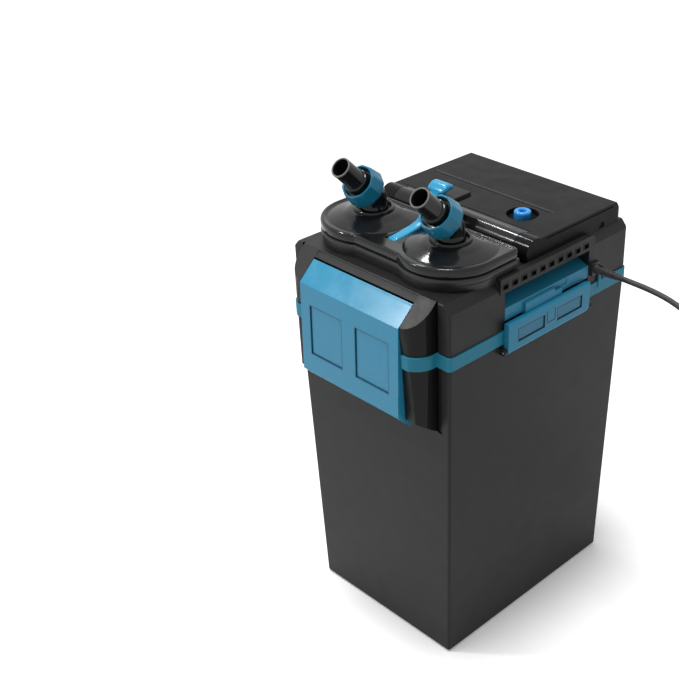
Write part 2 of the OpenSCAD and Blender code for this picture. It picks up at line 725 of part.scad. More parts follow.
module wide_clamp() {
    yf = face_y;
    yb = face_y + 3;
    t = clamp_t;
    slant = t / cos(slope_deg);
    lip_y = wall_y + 5;
    py = clamp_pin_y;
    pz = clamp_pin_z;
    color("#4a94bb") difference() {
        along_x(-clamp_w / 2, clamp_w / 2) {
            polygon([[-py - 1.4, slope_z(py + 1.4)], [-yf, face_z], [-yb, chin_z], [-wall_y - 13.5, lip_z],
                [-lip_y, lip_z], [-lip_y, lip_z + t - 0.4], [-wall_y - 12, lip_z + t],
                [-wall_y - 11, face_z - 8], [-py + 2, pz - 5]]);
            translate([-py, pz]) circle(clamp_ear_r);
        }
        // hollow between the two side walls
        along_x(-clamp_w / 2 + t, clamp_w / 2 - t) polygon([[-py + 9, slope_z(py + 1.4) - 2.2],
            [-py + 0.6, slope_z(py + 1.4) - 2.2], [-yf + t, slope_z(yf - t) - slant],
            [-yb + t, chin_z + 1.2], [-wall_y - 12.3, lip_z + t], [-wall_y + 20, lip_z + t - 0.4],
            [-wall_y + 20, slope_z(py + 1.4) - 2.2]]);
        rod_x(-clamp_w, clamp_w, -py, pz, clamp_pin_r + run_gap);
        for (m = [0, 1]) mirror([m, 0, 0]) along_x(8.7, 48.6) polygon([[-yb - 9, face_z - 18.5],
            [-yf + 0.5, face_z - 18.5], [-yb + 1.8, chin_z + 19.2], [-yb - 9, chin_z + 19.2]]);
    }
}

module wide_clamp_pins() {
    py = clamp_pin_y;
    color("silver") for (m = [0, 1]) mirror([m, 0, 0])
        rod_x(clamp_w / 2 - 5, col_in + 8.9, -py, clamp_pin_z, clamp_pin_r);
}

// ---------- side clamps ----------

module side_clamp() {
    xb = side_back_x;
    xf = side_face_x;
    lip_x = wall_x - shelf_in - 1.2;
    y0 = side_y0;
    y1 = side_y1;
    deck_y0 = recess_y0 + 0.6;
    deck_y1 = recess_y1 - 0.6;
    rib_y0 = -26.5;
    rib_y1 = 22;
    color("#4a94bb") difference() {
        union() {
            // face panel with its hinge barrel
            along_y(y0, y1) {
                polygon([[xb, side_z], [xf, side_z], [xf, side_top_z - 1], [xf - 1, side_top_z],
                    [xb, side_top_z]]);
                translate([side_x, side_z]) circle(side_barrel_r);
            }
            // deck that reaches into the recess, with its lip and front plate
            along_y(deck_y0, deck_y1) polygon([[wall_x, shelf_z + 0.2], [lip_x - 2.2, shelf_z + 6.1],
                [lip_x - 2.2, shelf_z + 0.2], [lip_x, shelf_z + 0.2], [lip_x + 0.6, shelf_z + 2.6],
                [wall_x - 2.6, shelf_z - 1.9], [wall_x - 2.6, side_top_z + 1], [wall_x, side_top_z + 1]]);
            // rib that joins the deck to the panel
            along_y(rib_y0, rib_y1) polygon([[wall_x - 2, side_top_z - 4], [xb + 1, side_top_z - 4],
                [xb + 1, shelf_z - 3.4], [xb - 1, shelf_z - 2.4], [wall_x - 2, shelf_z - 2.4]]);
        }
        // clears the hinge end and the two panel recesses
        rod_y(y0 - 1, y1 + 1, side_x, side_z, side_pin_r + run_gap);
        for (y = [[y0 + 13, y0 + 47], [y0 + 64.5, y0 + 98]])
            box([xf - 0.9, y[0], side_z + 5.8], [xf + 5, y[1], side_z + 17.2]);
        // cut lower rear corner and the notch in the rib
        translate([wall_x + 0.5, y1, side_z - 3]) rotate([45, 0, 0])
            cube([20, 5.6, 5.6], center = true);
        box([wall_x - 0.6, rib_y1 - 10, shelf_z - 6], [xf, rib_y1 + 9, shelf_z - 1]);
    }
}

module side_pin() {
    color("silver") rod_y(side_y0 - 4.2, side_y1 + 4.2, side_x, side_z, side_pin_r);
}

// ---------- cord ----------

module strain_relief() {
    r0 = 4.6;
    r1 = cord_r + 0.7;
    ribs = 5;
    step = (relief_len - 4) / ribs;
    color("#1c1c1d") translate([wall_x + seat_gap, cord_y, cord_z]) {
        translate([0, -5, -6]) cube([2.2, 10, 12]);
        rotate([0, 90, 0]) rotate_extrude() polygon(concat([[0, 1], [r0, 1]],
            [for (i = [0:ribs - 1]) let (r = r0 + (r1 - r0) * (i + 1) / ribs, x = 5 + i * step)
                each [[r, x], [r, x + step * 0.55], [r - 0.7, x + step * 0.56], [r - 0.7, x + step]]],
            [[r1 - 0.7, relief_x - wall_x - seat_gap], [0, relief_x - wall_x - seat_gap]]));
        translate([5, -1, 3]) cube([5, 2, 3.2]);
    }
}

cord_points = [for (i = [0:2 * (len(route) - 1)]) spline(route, i / 2)];
module power_cord() {
    color("#1a1a1b") sweep(cord_points, [0, 1, 0], cord_r, 10);
}

// The coil winds in over half its turns, climbs one layer and winds out again
function coil_at(s) = let (m = min(s, coil_turns - s), r = coil_r - coil_pitch * m,
    up = min(max((s - coil_turns / 2 + 0.25) / 0.5, 0), 1), a = 360 * s)
    [coil_x + r * cos(a), coil_y + r * sin(a), cord_r + coil_pitch * up];
coil_path = concat([[coil_x + coil_r, coil_y - cord_d, cord_r]],
    [for (i = [0:coil_turns * coil_steps]) coil_at(i / coil_steps)],
    [[coil_x + coil_r, coil_y + cord_d, plug_z], [coil_x + coil_r, plug_y, plug_z]]);
module cord_coil() {
    color("#1a1a1b") sweep(coil_path, [0, 0, 1], cord_r, 6);
}

// Least gap between turns, and the length of the whole cord
function length_of(p) = [for (i = [1:len(p) - 1]) norm(p[i] - p[i - 1])] * [for (i = [1:len(p) - 1]) 1];
coil_gap = min([for (i = [0:2:len(coil_path) - 1], j = [i + 12:len(coil_path) - 1])
    norm(coil_path[i] - coil_path[j])]) - cord_d;
echo(least_gap_between_turns = coil_gap, cord_length = length_of(cord_points) + length_of(coil_path));

module plug() {
    x = coil_x + coil_r;
    color("#1c1c1d") difference() {
        union() {
            translate([x, plug_y, plug_z]) rotate([-90, 0, 0]) cylinder(r1 = 3.6, r2 = 5.5, h = 12);
            translate([x, plug_y + 12, plug_z]) rotate([-90, 0, 0]) linear_extrude(24) {
                translate([-9, -plug_z + 0.6]) square([18, 2 * plug_z - 1.2]);
                for (k = [-1, 1]) translate([9 * k, 0]) circle(4.5);
            }
        }
        translate([x, plug_y + 16, plug_z + 9.6]) rotate([0, 90, 0]) cylinder(r = 3, h = 40, center = true);
    }
}

module plug_pins() {
    color("silver") for (k = [-9.5, 9.5])
        rod_y(plug_y + 36, plug_y + 54, coil_x + coil_r + k, plug_z, 2);
}

// ---------- media baskets ----------

module basket(level) {
    z = tray_z + level * (tray_h + 2);
    step_x = (tray_w - 2 * tray_t - 6) / 9;
    step_y = (tray_d - 2 * tray_t - 6) / 9;
    hole = min(step_x, step_y) - 5;
    color("#e4e6e6") translate([0, tray_y, z]) difference() {
        linear_extrude(tray_h) rounded(tray_w, tray_d, 6);
        translate([0, 0, tray_t]) linear_extrude(tray_h)
            rounded(tray_w - 2 * tray_t, tray_d - 2 * tray_t, 4);
        // a grid of square holes in the floor
        for (x = [-4:4], y = [-4:4]) translate([x * step_x - hole / 2, y * step_y - hole / 2, -1])
            cube([hole, hole, tray_t + 2]);
    }
}

module pad(level, h, c) {
    z = tray_z + level * (tray_h + 2) + tray_t + seat_gap;
    color(c) translate([0, tray_y, z]) linear_extrude(h)
        rounded(tray_w - 2 * tray_t - 1, tray_d - 2 * tray_t - 1, 4);
}

module bio_rings() {
    z = tray_z + tray_h + 2 + tray_t + seat_gap;
    span_x = tray_w - 2 * tray_t - 2 * ring_r - 1;
    span_y = tray_d - 2 * tray_t - 2 * ring_r - 1;
    nx = floor(span_x / (2 * ring_r + 2.6));
    ny = floor(span_y / (2 * ring_r + 2.6));
    color("#d9d2c4") for (k = [0:1], i = [0:nx], j = [0:ny])
        translate([span_x * (i / nx - 0.5), tray_y + span_y * (j / ny - 0.5), z + k * (ring_h + 0.2)])
            difference() {
                cylinder(r = ring_r, h = ring_h, $fn = 24);
                translate([0, 0, -1]) cylinder(r = ring_r - 4, h = ring_h + 2, $fn = 24);
            }
}

module basket_handle() {
    z = tray_z + 3 * (tray_h + 2) - 2;
    w = tray_w / 2 - 3.5;
    color("#c9cccd") difference() {
        along_y(tray_y - 5, tray_y + 5) polygon([[-w, z - 20], [-w + 2, z - 20], [-w + 2, z - 1],
            [w - 2, z - 1], [w - 2, z - 20], [w, z - 20], [w, z + 1.6], [-w, z + 1.6]]);
        rod_z(z - 3, z + 3, 0, tray_y, 3.4);
    }
}

module riser_tube() {
    color("#33363a") difference() {
        rod_z(can_z + can_floor + 12, floor_z - seat_gap, -port_x, port_y, riser_r);
        rod_z(can_z, floor_z + 1, -port_x, port_y, hose_bore_r);
    }
}

// ---------- pump ----------

module motor_block() {
    color("#8a6f3a") difference() {
        box([-26, pump_y - 24, head_z + seat_gap], [26, pump_y + 24, deck_z - 4 - seat_gap]);
        rod_z(head_z - 1, deck_z, 0, pump_y, rotor_r + 3.5 + seat_gap);
    }
}

module impeller_shaft() {
    color("#e8e8e4") rod_z(rotor_z - 25, deck_z - 6.2, 0, pump_y, 1.5);
}

module impeller() {
    color("#2b2d30") difference() {
        union() {
            rod_z(rotor_z - 4, deck_z - 9, 0, pump_y, rotor_r);
            rod_z(rotor_z - 6, rotor_z - 3, 0, pump_y, 15);
            for (a = [0:60:300]) translate([0, pump_y, rotor_z - 18]) rotate([0, 0, a])
                translate([3, -0.8, 0]) cube([12, 1.6, 13]);
            rod_z(rotor_z - 18, rotor_z, 0, pump_y, 4.5);
        }
        rod_z(rotor_z - 30, deck_z, 0, pump_y, 1.5 + run_gap);
    }
}

module impeller_cover() {
    color("#2f3235") difference() {
        union() {
            difference() {
                rod_z(rotor_z - 26, rotor_z - seat_gap, 0, pump_y, 20);
                rod_z(rotor_z - 19.5, rotor_z + 1, 0, pump_y, 17);
                rod_z(rotor_z - 27, rotor_z - 19, 0, pump_y, 7);
            }
            rod_z(rotor_z - 26, rotor_z - 21, 0, pump_y, 3.2);
            translate([-8, pump_y - 1, rotor_z - 26]) cube([16, 2, 4]);
        }
        rod_z(rotor_z - 25, rotor_z - 10, 0, pump_y, 1.5);
    }
}

// ---------- drawing ----------

canister();
rubber_feet();
seal_band();
o_ring();
pump_head();
motor_cover();
grip_bar();
valve_block();
valve_spigots();
swivel_collars();
lever_catch();
lever_pin();
shutoff_lever();
elbow(-port_x);  // elbow_left
elbow(port_x);  // elbow_right
hose_end(-port_x);  // hose_end_left
hose_end(port_x);  // hose_end_right
union_nut(-port_x);  // union_nut_left
union_nut(port_x);  // union_nut_right
priming_button();
button_spring();
wide_clamp();  // front_clamp
wide_clamp_pins();  // front_clamp_pins
mirror([0, 1, 0]) wide_clamp();  // rear_clamp
mirror([0, 1, 0]) wide_clamp_pins();  // rear_clamp_pins
side_clamp();  // side_clamp_right
mirror([1, 0, 0]) side_clamp();  // side_clamp_left
side_pin();  // side_pin_right
mirror([1, 0, 0]) side_pin();  // side_pin_left
strain_relief();
power_cord();
cord_coil();
plug();
plug_pins();
basket(0);  // basket_lower
basket(1);  // basket_middle
basket(2);  // basket_upper
pad(0, coarse_h, "#2d4a6b");  // coarse_foam
bio_rings();
pad(2, fine_h, "#eef0ef");  // fine_foam
basket_handle();
riser_tube();
motor_block();
impeller_shaft();
impeller();
impeller_cover();
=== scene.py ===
# %% [markdown]
# # Canister filter: the looks
# This lesson dresses a canister filter, a tall water filter that stands beside a pond or an
# aquarium. The solid model comes from CAD with every piece in its place, and it stays the fixed
# frame. A scene could also be modelled from nothing, but then nothing would promise that the
# pieces fit and that the hinges turn where they should. So this script only adds what CAD leaves
# out: softened edges, finer forms, finishes and light. Blender works in metres. The tables of
# points are in millimetres, as on a drawing.

import json
import math

import bmesh
import bpy
from mathutils import Matrix, Vector
from mathutils.geometry import tessellate_polygon

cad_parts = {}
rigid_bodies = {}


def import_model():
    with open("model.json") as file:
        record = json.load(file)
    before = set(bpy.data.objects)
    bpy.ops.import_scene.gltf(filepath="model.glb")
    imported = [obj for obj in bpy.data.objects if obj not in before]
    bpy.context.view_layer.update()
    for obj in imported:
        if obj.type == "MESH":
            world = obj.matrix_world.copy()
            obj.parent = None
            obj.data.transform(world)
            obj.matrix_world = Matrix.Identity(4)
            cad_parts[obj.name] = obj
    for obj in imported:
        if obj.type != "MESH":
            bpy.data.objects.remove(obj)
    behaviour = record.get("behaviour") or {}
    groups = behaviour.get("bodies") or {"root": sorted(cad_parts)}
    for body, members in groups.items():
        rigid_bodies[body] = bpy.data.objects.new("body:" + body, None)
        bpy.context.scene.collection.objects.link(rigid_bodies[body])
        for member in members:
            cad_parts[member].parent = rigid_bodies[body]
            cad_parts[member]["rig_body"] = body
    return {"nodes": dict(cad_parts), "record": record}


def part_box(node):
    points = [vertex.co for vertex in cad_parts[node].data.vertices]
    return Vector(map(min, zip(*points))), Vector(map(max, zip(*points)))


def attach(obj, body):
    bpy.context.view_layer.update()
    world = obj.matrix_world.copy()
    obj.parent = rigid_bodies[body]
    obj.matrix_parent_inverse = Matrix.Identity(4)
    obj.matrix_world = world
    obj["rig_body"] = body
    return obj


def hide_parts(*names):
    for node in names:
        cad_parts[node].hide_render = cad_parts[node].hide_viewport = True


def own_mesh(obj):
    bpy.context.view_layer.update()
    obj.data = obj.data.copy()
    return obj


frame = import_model()
NODES = frame["nodes"]
BODY_OF = {n: o["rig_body"] for n, o in NODES.items()}
SLOT_OF = {s["node"]: s["material_slot"] for s in frame["record"]["subparts"]}
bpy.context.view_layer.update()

# %% [markdown]
# ## Sizes shared with the CAD source
# The finer pieces below sit on the solid ones, so both have to agree on a few places: the axes of
# the hose fittings, the height of the pedestal, the round lobes of the valve block. They could be
# measured from the meshes of the frame. They are written out instead, because a named number is
# easier to follow. The helper `mm` turns millimetres into metres.

# %% Sizes
MM = 0.001
PORT_X, PORT_Y = 46.4, -63.7
PEDESTAL_Z, BEND_Z = 388.6, 415.1
LOBE_R, LOBE_Y = 46.0, -65.0
WAIST_Y, REAR_Y = -106.2, -29.2
BUTTON_X, BUTTON_Y = 44.5, 28.5
HOSE_R, BORE_R = 9.2, 7.6


def mm(*v):
    """Millimetres to metres, as a vector for three numbers."""
    return Vector([c * MM for c in v]) if len(v) > 1 else v[0] * MM


print("fitting axis starts at", (PORT_X, PORT_Y, BEND_Z), "mm")

# %% [markdown]
# ## Camera
# The camera looks down on the front right corner. Its angles could be typed as three turns, but a
# camera that is aimed at a point on the object's axis is easier to read. Two helpers serve the
# lamps as well: one makes an object in the scene, and one puts it at a place and turns it to a
# target. The focal length is given in pixels and turned into millimetres of the sensor. The shift
# slides the view sideways and up, as on a view camera, so that the object stands off centre and
# its perspective stays the same.

# %% Camera
VIEW_PLACE, VIEW_TARGET = (0.6680, -0.7075, 0.8191), (0, 0, 0.220)
WIDTH, FOCAL = 679, 1190.39  # width of the square view and focal length, in pixels
AXIS = (463.21, 378.73)  # where the lens's axis lies in the view, in pixels
SENSOR = 36.0  # in millimetres


def new_object(name, data):
    """An object in the scene that shows the given data."""
    made = bpy.data.objects.new(name, data)
    bpy.context.scene.collection.objects.link(made)
    return made


def aim(thing, place, target):
    """Puts a camera or a lamp at a place and turns it to a target."""
    thing.location = place
    thing.rotation_mode = "QUATERNION"
    thing.rotation_quaternion = (Vector(target) - Vector(place)).to_track_quat("-Z", "Y")


camera = new_object("camera", bpy.data.cameras.new("camera"))
aim(camera, VIEW_PLACE, VIEW_TARGET)
camera.data.sensor_width = SENSOR
camera.data.lens = SENSOR * FOCAL / WIDTH
camera.data.shift_x = (WIDTH / 2 - AXIS[0]) / WIDTH
camera.data.shift_y = (AXIS[1] - WIDTH / 2) / WIDTH
camera.data.clip_start, camera.data.clip_end = 0.05, 30
bpy.context.scene.camera = camera
print("lens", round(camera.data.lens, 2), "mm")

# %% [markdown]
# ## Cord
# The real cord is a round rubber cable that leaves the head at the side and ends in a plug. It
# could be a mesh made ring by ring, but a curve with a bevel is the natural tool: a row of points
# gives the path, and the bevel gives the round section. The path runs out of the strain relief,
# falls to the floor and enters a coil of five turns on two layers. It is a Catmull-Rom spline,
# which passes through every point of its list.

# %% Cord route
ROUTE = [
    (124, 69.8, 345.2), (136, 69.8, 345.2), (150, 69.8, 345), (165, 69.8, 344),
    (180, 69.8, 341.5), (195, 69.8, 336.5), (209, 69.8, 328), (220, 69.8, 315),
    (228, 69.8, 298), (233, 69.8, 278), (235, 69.8, 255), (236, 69.8, 225),
    (236, 69.8, 190), (236, 69.8, 155), (236, 69.8, 120), (236, 69.8, 90),
    (236, 69.8, 62), (236, 70.5, 44), (236, 75, 27), (236, 84, 13), (236, 97, 5),
    (236, 112, 2.5), (236, 130, 2.5), (236, 152, 2.5), (236, 177, 2.5),
]
CORD_R, PLUG_Z = 2.5, 8.1
COIL_X, COIL_Y, COIL_R, COIL_PITCH, COIL_TURNS = 198.3, 182, 37.7, 5.6, 5


def spline(points, t):
    """A point on the smooth curve through the listed points."""
    last = len(points) - 1
    i = min(int(t), last - 1)
    u = t - i
    a, b, c, d = (Vector(points[max(0, min(last, k))]) for k in (i - 1, i, i + 1, i + 2))
    return 0.5 * (
        2 * b + (c - a) * u + (2 * a - 5 * b + 4 * c - d) * u * u
        + (3 * b - a - 3 * c + d) * u * u * u
    )


def coil_at(s):
    """A point of the coil after s turns: inwards, up one layer, and outwards again."""
    r = COIL_R - COIL_PITCH * min(s, COIL_TURNS - s)
    up = min(max((s - COIL_TURNS / 2 + 0.25) / 0.5, 0), 1)
    a = 2 * math.pi * s
    return Vector((COIL_X + r * math.cos(a), COIL_Y + r * math.sin(a), CORD_R + COIL_PITCH * up))


cord_path = [spline(ROUTE, i / 4) for i in range(4 * (len(ROUTE) - 1) + 1)]
cord_path += [coil_at(i / 48) for i in range(COIL_TURNS * 48 + 1)]
cord_path += [Vector((236, COIL_Y + y, PLUG_Z)) for y in (5, 10, 15, 20, 25, 30)]
cord_path = [p * MM for p in cord_path]
cord_length = sum((b - a).length for a, b in zip(cord_path, cord_path[1:]))
print("points on the cord:", len(cord_path))

# %% [markdown]
# ### Cord curve
# The radius could be set by the bevel depth alone. Here the depth is 1 and every point carries the
# real radius, so that the size that Blender reports for the curve is the true one as well. The
# cord moves with the body of the CAD cord and replaces the stiff rods and rings that stand for it
# in the CAD model, which are hidden.

# %% Cord curve
curve = bpy.data.curves.new("cord", "CURVE")
curve.dimensions = "3D"
curve.bevel_depth = 1.0
curve.bevel_resolution = 5
line = curve.splines.new("POLY")
line.points.add(len(cord_path) - 1)
for point, place in zip(line.points, cord_path):
    point.co = (*place, 1)
    point.radius = CORD_R * MM
line.use_smooth = True
cord = new_object("cord", curve)
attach(cord, BODY_OF["power_cord"])
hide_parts("power_cord", "cord_coil")
print("cord length", round(cord_length, 4), "m")

# %% [markdown]
# ## Materials
# ### Shader maths as arithmetic
# A material is a net of nodes, and every sum in it takes a Math node. Such a net could be drawn by
# hand, or built with one call for each node and each link, but then the sum itself is hard to see.
# This class wraps the output of a node instead. A sum is written as in plain Python, and each
# operator adds its own Math node. Python calls the reflected form of minus for `1 - mask`, where
# the number comes first. A Math node turns a colour grey, so colours don't go this way but through
# Mix.

# %% A socket as a number
class Wire:
    """The output of a node, with + - * ** that add the matching Math node."""

    def __init__(self, shader, socket):
        self.shader, self.socket = shader, socket

    def _math(self, operation, a, b):
        return self.shader.node("ShaderNodeMath", {0: a, 1: b}, operation=operation)

    def __add__(self, other):
        return self._math("ADD", self, other)

    def __sub__(self, other):
        return self._math("SUBTRACT", self, other)

    def __rsub__(self, other):
        return self._math("SUBTRACT", other, self)

    def __mul__(self, other):
        return self._math("MULTIPLY", self, other)

    def __pow__(self, other):
        return self._math("POWER", self, other)

    def __abs__(self):
        return self._math("ABSOLUTE", self, 0.0)


print("a socket now takes + - * ** and abs")

# %% [markdown]
# ### One method for every other node
# Besides sums, a material needs noise, colour ramps, mixes and bumps. A function for each kind
# would repeat the same three steps: make the node, choose its settings, and fill its sockets. One
# method does them all. It takes the node's type and its settings, such as the stops of a ramp, and
# then a value or a link for each socket. The lighting of the world is made of the same sort of
# nodes, so the class takes that tree as well.

# %% Any node
class Nodes:
    """The nodes of a new material with a Principled surface, or of a tree that is handed in."""

    def __init__(self, name="", tree=None):
        if tree is None:
            self.material = bpy.data.materials.new(name)
            self.material.use_nodes = True
            tree = self.material.node_tree
        self.tree = tree
        self.surface = next((n for n in tree.nodes if n.type == "BSDF_PRINCIPLED"), None)
        if self.surface:
            self.place = self.node("ShaderNodeTexCoord", output="Object")

    def node(self, kind, inputs=None, output=0, stops=(), **settings):
        """Adds a node, sets it up, fills its inputs, and returns the chosen output as a Wire."""
        made = self.tree.nodes.new(kind)
        for name, value in settings.items():
            setattr(made, name, value)
        if stops:
            ramp = made.color_ramp.elements
            while len(ramp) < len(stops):
                ramp.new(0.5)
            for element, (position, colour) in zip(ramp, stops):
                element.position = position
                element.color = (*colour, 1)
        for name, value in (inputs or {}).items():
            self.plug(made.inputs[name], value)
        return Wire(self, made.outputs[output])

    def plug(self, socket, value):
        """Links a Wire to a socket, or sets the socket to a plain value."""
        if isinstance(value, Wire):
            self.tree.links.new(value.socket, socket)
        else:
            socket.default_value = value

    def set(self, **values):
        """Sets or links inputs of the Principled surface; an underscore stands for a space."""
        for name, value in values.items():
            self.plug(self.surface.inputs[name.replace("_", " ")], value)

    def outputs(self, wire, names):
        """More outputs of the node that a wire comes from."""
        return [Wire(self, wire.socket.node.outputs[name]) for name in names]


print("one method makes every other node")

# %% [markdown]
# ### Patterns
# Dust, wear and the grain of a mould are patterns that spread over a surface. They could be
# painted by hand, but computed noise needs no file, has no seams and is sharp from near and far.
# Each helper gives a number or a colour for every point. `span` then stretches the narrow middle
# of the noise to the range that a roughness or a mask needs.

# %% Noise, cells, ranges and ramps
class Patterns(Nodes):
    """Nodes that give each point of a surface its own number or colour."""

    def noise(self, scale, detail=3.0, roughness=0.55, stretch=(1, 1, 1)):
        """Noise of about 1/scale metres, from 0 to 1."""
        where = self.node("ShaderNodeMapping", {"Vector": self.place, "Scale": stretch})
        return self.node("ShaderNodeTexNoise", {
            "Vector": where, "Scale": scale, "Detail": detail, "Roughness": roughness},
            output="Fac")

    def cells(self, scale):
        """Distance to the nearest cell centre."""
        return self.node("ShaderNodeTexVoronoi", {"Vector": self.place, "Scale": scale},
                         output="Distance", feature="F1")

    def span(self, value, low, high, to_low, to_high):
        """Maps a range to another range, clamped."""
        return self.node("ShaderNodeMapRange", {
            "Value": value, "From Min": low, "From Max": high, "To Min": to_low,
            "To Max": to_high}, output="Result")

    def tones(self, factor, stops):
        """A colour ramp from (position, colour) stops."""
        return self.node("ShaderNodeValToRGB", {"Fac": factor}, "Color", stops)

    def mix(self, factor, a, b):
        """The colour a where the factor is 0, and b where it is 1."""
        a, b = ((*c, 1) if isinstance(c, tuple) else c for c in (a, b))
        return self.node("ShaderNodeMix", {0: factor, 6: a, 7: b}, output=2, data_type="RGBA")

    def bump(self, height, depth):
        """A bump of the given real depth in metres."""
        return self.node("ShaderNodeBump", {"Height": height, "Distance": depth},
                         output="Normal")


print("patterns ready")

# %% [markdown]
# ### Marks at a place
# Some marks have a fixed place, such as the shade along the edge of a recess. A painted texture
# would need its own mapping for every piece. All meshes here lie in the frame of the whole object,
# so a mark can be given by its place in millimetres. Each mask is 1 on the mark and 0 off it, and
# masks are combined by adding or multiplying them.

# %% Places on the object
class Shader(Patterns):
    """A whole material, with masks for places on the object."""

    def axes(self):
        """The x, y and z of a point on the surface, in millimetres."""
        split = self.node("ShaderNodeSeparateXYZ", {0: self.place})
        return [metres * 1000.0 for metres in self.outputs(split, (0, 1, 2))]

    def within(self, value, low, high, soft=0.2):
        """1 where the value is between low and high, 0 outside, with a soft edge."""
        return (self.span(value, low - soft, low + soft, 0, 1)
                * self.span(value, high - soft, high + soft, 1, 0))

    def outline(self, u, v, box, width):
        """1 on a line round the box (u0, v0, u1, v1), 0 elsewhere."""
        h = width / 2
        u0, v0, u1, v1 = box
        return (self.within(u, u0 - h, u1 + h) * self.within(v, v0 - h, v1 + h)
                - self.within(u, u0 + h, u1 - h) * self.within(v, v0 + h, v1 - h))


def shade(colour, k):
    """A colour made darker or lighter."""
    return tuple(min(1.0, c * k) for c in colour)


print("masks ready")

# %% [markdown]
# ### Moulded plastics
# Nearly all of the filter is injection-moulded plastic: matt black walls, a satin head, a glossy
# valve block, blue clamps and nuts. With one flat colour it would look like a drawing. In a real
# moulding the tone drifts slowly, the gloss changes where hands touch it, and the mould's texture
# breaks up each highlight. One function makes all of them from noise of three sizes, so that they
# stay one family and differ by a few numbers. Numbers that are the same all over are set on the
# shader's own sockets.

# %% Plastics
def plastic(name, colour, rough, grain=0.00002, vary=0.06, coat=0.0, rough_vary=0.06,
            specular=0.35, marks=None, gloss=None):
    """A moulded plastic. marks gives (mask, colour) pairs of painted shade and highlights, and
    gloss a (mask, roughness).
    """
    s = Shader(name)
    slow = s.noise(9.0, detail=2.0)
    cloud = s.noise(60.0, detail=4.0)
    mix = slow * 0.6 + cloud * 0.4
    tone = s.tones(mix, [(0.3, shade(colour, 1 - vary)), (0.5, colour),
                         (0.72, shade(colour, 1 + vary))])
    fine = s.noise(1400.0, detail=2.0, roughness=0.6)
    waves = s.noise(38.0, detail=1.0)
    height = fine * 0.8 + waves * 0.2
    rough = s.span(cloud, 0.3, 0.7, rough - rough_vary, rough + rough_vary)
    # the mark colours are painted shade and painted highlights, laid over the tone
    for mask, dark in (marks(s) if marks else ()):
        tone = s.mix(mask, tone, dark)
    if gloss:
        mask, shine = gloss(s)
        rough = rough * (1 - mask) + mask * shine
    s.set(Base_Color=tone, Roughness=rough, Normal=s.bump(height, grain))
    s.set(Coat_Weight=coat, Coat_Roughness=0.08, Specular_IOR_Level=specular)
    return s.material


print("the plastic is ready")

# %% [markdown]
# ### Black mouldings
# The same black plastic has a different finish in each place. The canister's walls are matt with a
# fine grain, the head is satin, and the valve block is polished. They could share one material and
# leave the rest to the lamps, but then no highlight would tell them apart. Their specular numbers
# are low, because the white room that they mirror would turn them grey. Some copies of the black
# are painted light and shade: a darker one is painted shade on the fronts of the columns beside
# the wide clamps, a near-black one is painted shade in the slits beside them and in the button's
# well, and a lighter one is painted light on the pedestal. The rim of each tube's mouth gets a
# pale grey as a painted highlight.

# %% Black mouldings
CHARCOAL = (0.0108, 0.0110, 0.0113)
MATERIALS = {
    "housing": plastic("moulded_charcoal", CHARCOAL, 0.48, grain=0.00003, vary=0.04,
                       rough_vary=0.025, specular=0.18),
    # painted light: a lighter copy of the head's black for the pedestal, whose curved flanks catch
    # the light
    "pedestal": plastic("pedestal_lit_charcoal", (0.028, 0.0285, 0.029), 0.36, specular=0.25),
    "head": plastic("satin_charcoal", (0.0120, 0.0122, 0.0125), 0.42, specular=0.18),
    # painted shade: a darker copy of the black for the columns' fronts, which lie in shade
    "column": plastic("column_shaded_charcoal", (0.0060, 0.0061, 0.0063), 0.38, specular=0.14),
    # painted shade: near black for the walls of the slits beside the columns, which lie in deep
    # shade
    "slit": plastic("slit_painted_shade", (0.0025, 0.0025, 0.0027), 0.6, specular=0.08),
    "gloss_black": plastic("gloss_black", (0.0075, 0.0078, 0.0085), 0.15, grain=0.000004,
                           coat=0.10, rough_vary=0.03, specular=0.25),
    # painted shade: near black for the inside of the button's well
    "well": plastic("well_painted_shade", (0.002, 0.002, 0.002), 0.7, specular=0.1),
    # painted highlight: pale grey for the rim of each tube's mouth, where it catches the light
    "mouth_highlight": plastic("mouth_highlight", (0.11, 0.11, 0.11), 0.5),
}
print("black mouldings:", ", ".join(MATERIALS))

# %% [markdown]
# ### Blue mouldings
# Blue marks what the hand works: clamps, lever, nuts and button. The seal band between head and
# canister is blue too, but duller, as soft plastic is. One blue for all would be simpler. Four
# near ones are used, because pieces from separate moulds differ a little in tone, and because the
# lever and the button are glossier than the rest.

# %% Blue mouldings
BLUES = {
    "blue_band": plastic("blue_band", (0.010, 0.165, 0.250), 0.45, grain=0.00001, specular=0.2),
    "blue_nut": plastic("blue_nut", (0.008, 0.150, 0.250), 0.28, grain=0.000005, coat=0.12,
                        rough_vary=0.03, specular=0.2),
    "blue_gloss": plastic("blue_gloss", (0.014, 0.250, 0.440), 0.24, grain=0.000005, coat=0.15,
                          rough_vary=0.03, specular=0.25),
    "blue_button": plastic("blue_button", (0.018, 0.240, 0.600), 0.24, grain=0.000005, coat=0.15,
                           rough_vary=0.03, specular=0.25),
}
MATERIALS.update(BLUES)
print("blue mouldings:", ", ".join(BLUES))

# %% [markdown]
# ### Inner plastics
# Inside are grey baskets, the cast block of the motor and a smooth shaft. They show only when the
# filter is taken apart, so plain settings of the same function will do. Leaving them without a
# material would be quicker, but a piece may be used on its own later.

# %% Inner plastics
INNER = {
    "resin": plastic("cast_resin", (0.05, 0.05, 0.055), 0.5),
    "basket": plastic("basket_grey", (0.62, 0.64, 0.64), 0.45),
    "shaft": plastic("ceramic_shaft", (0.75, 0.75, 0.73), 0.25, coat=0.3),
}
MATERIALS.update(INNER)
print("inner plastics:", ", ".join(INNER))

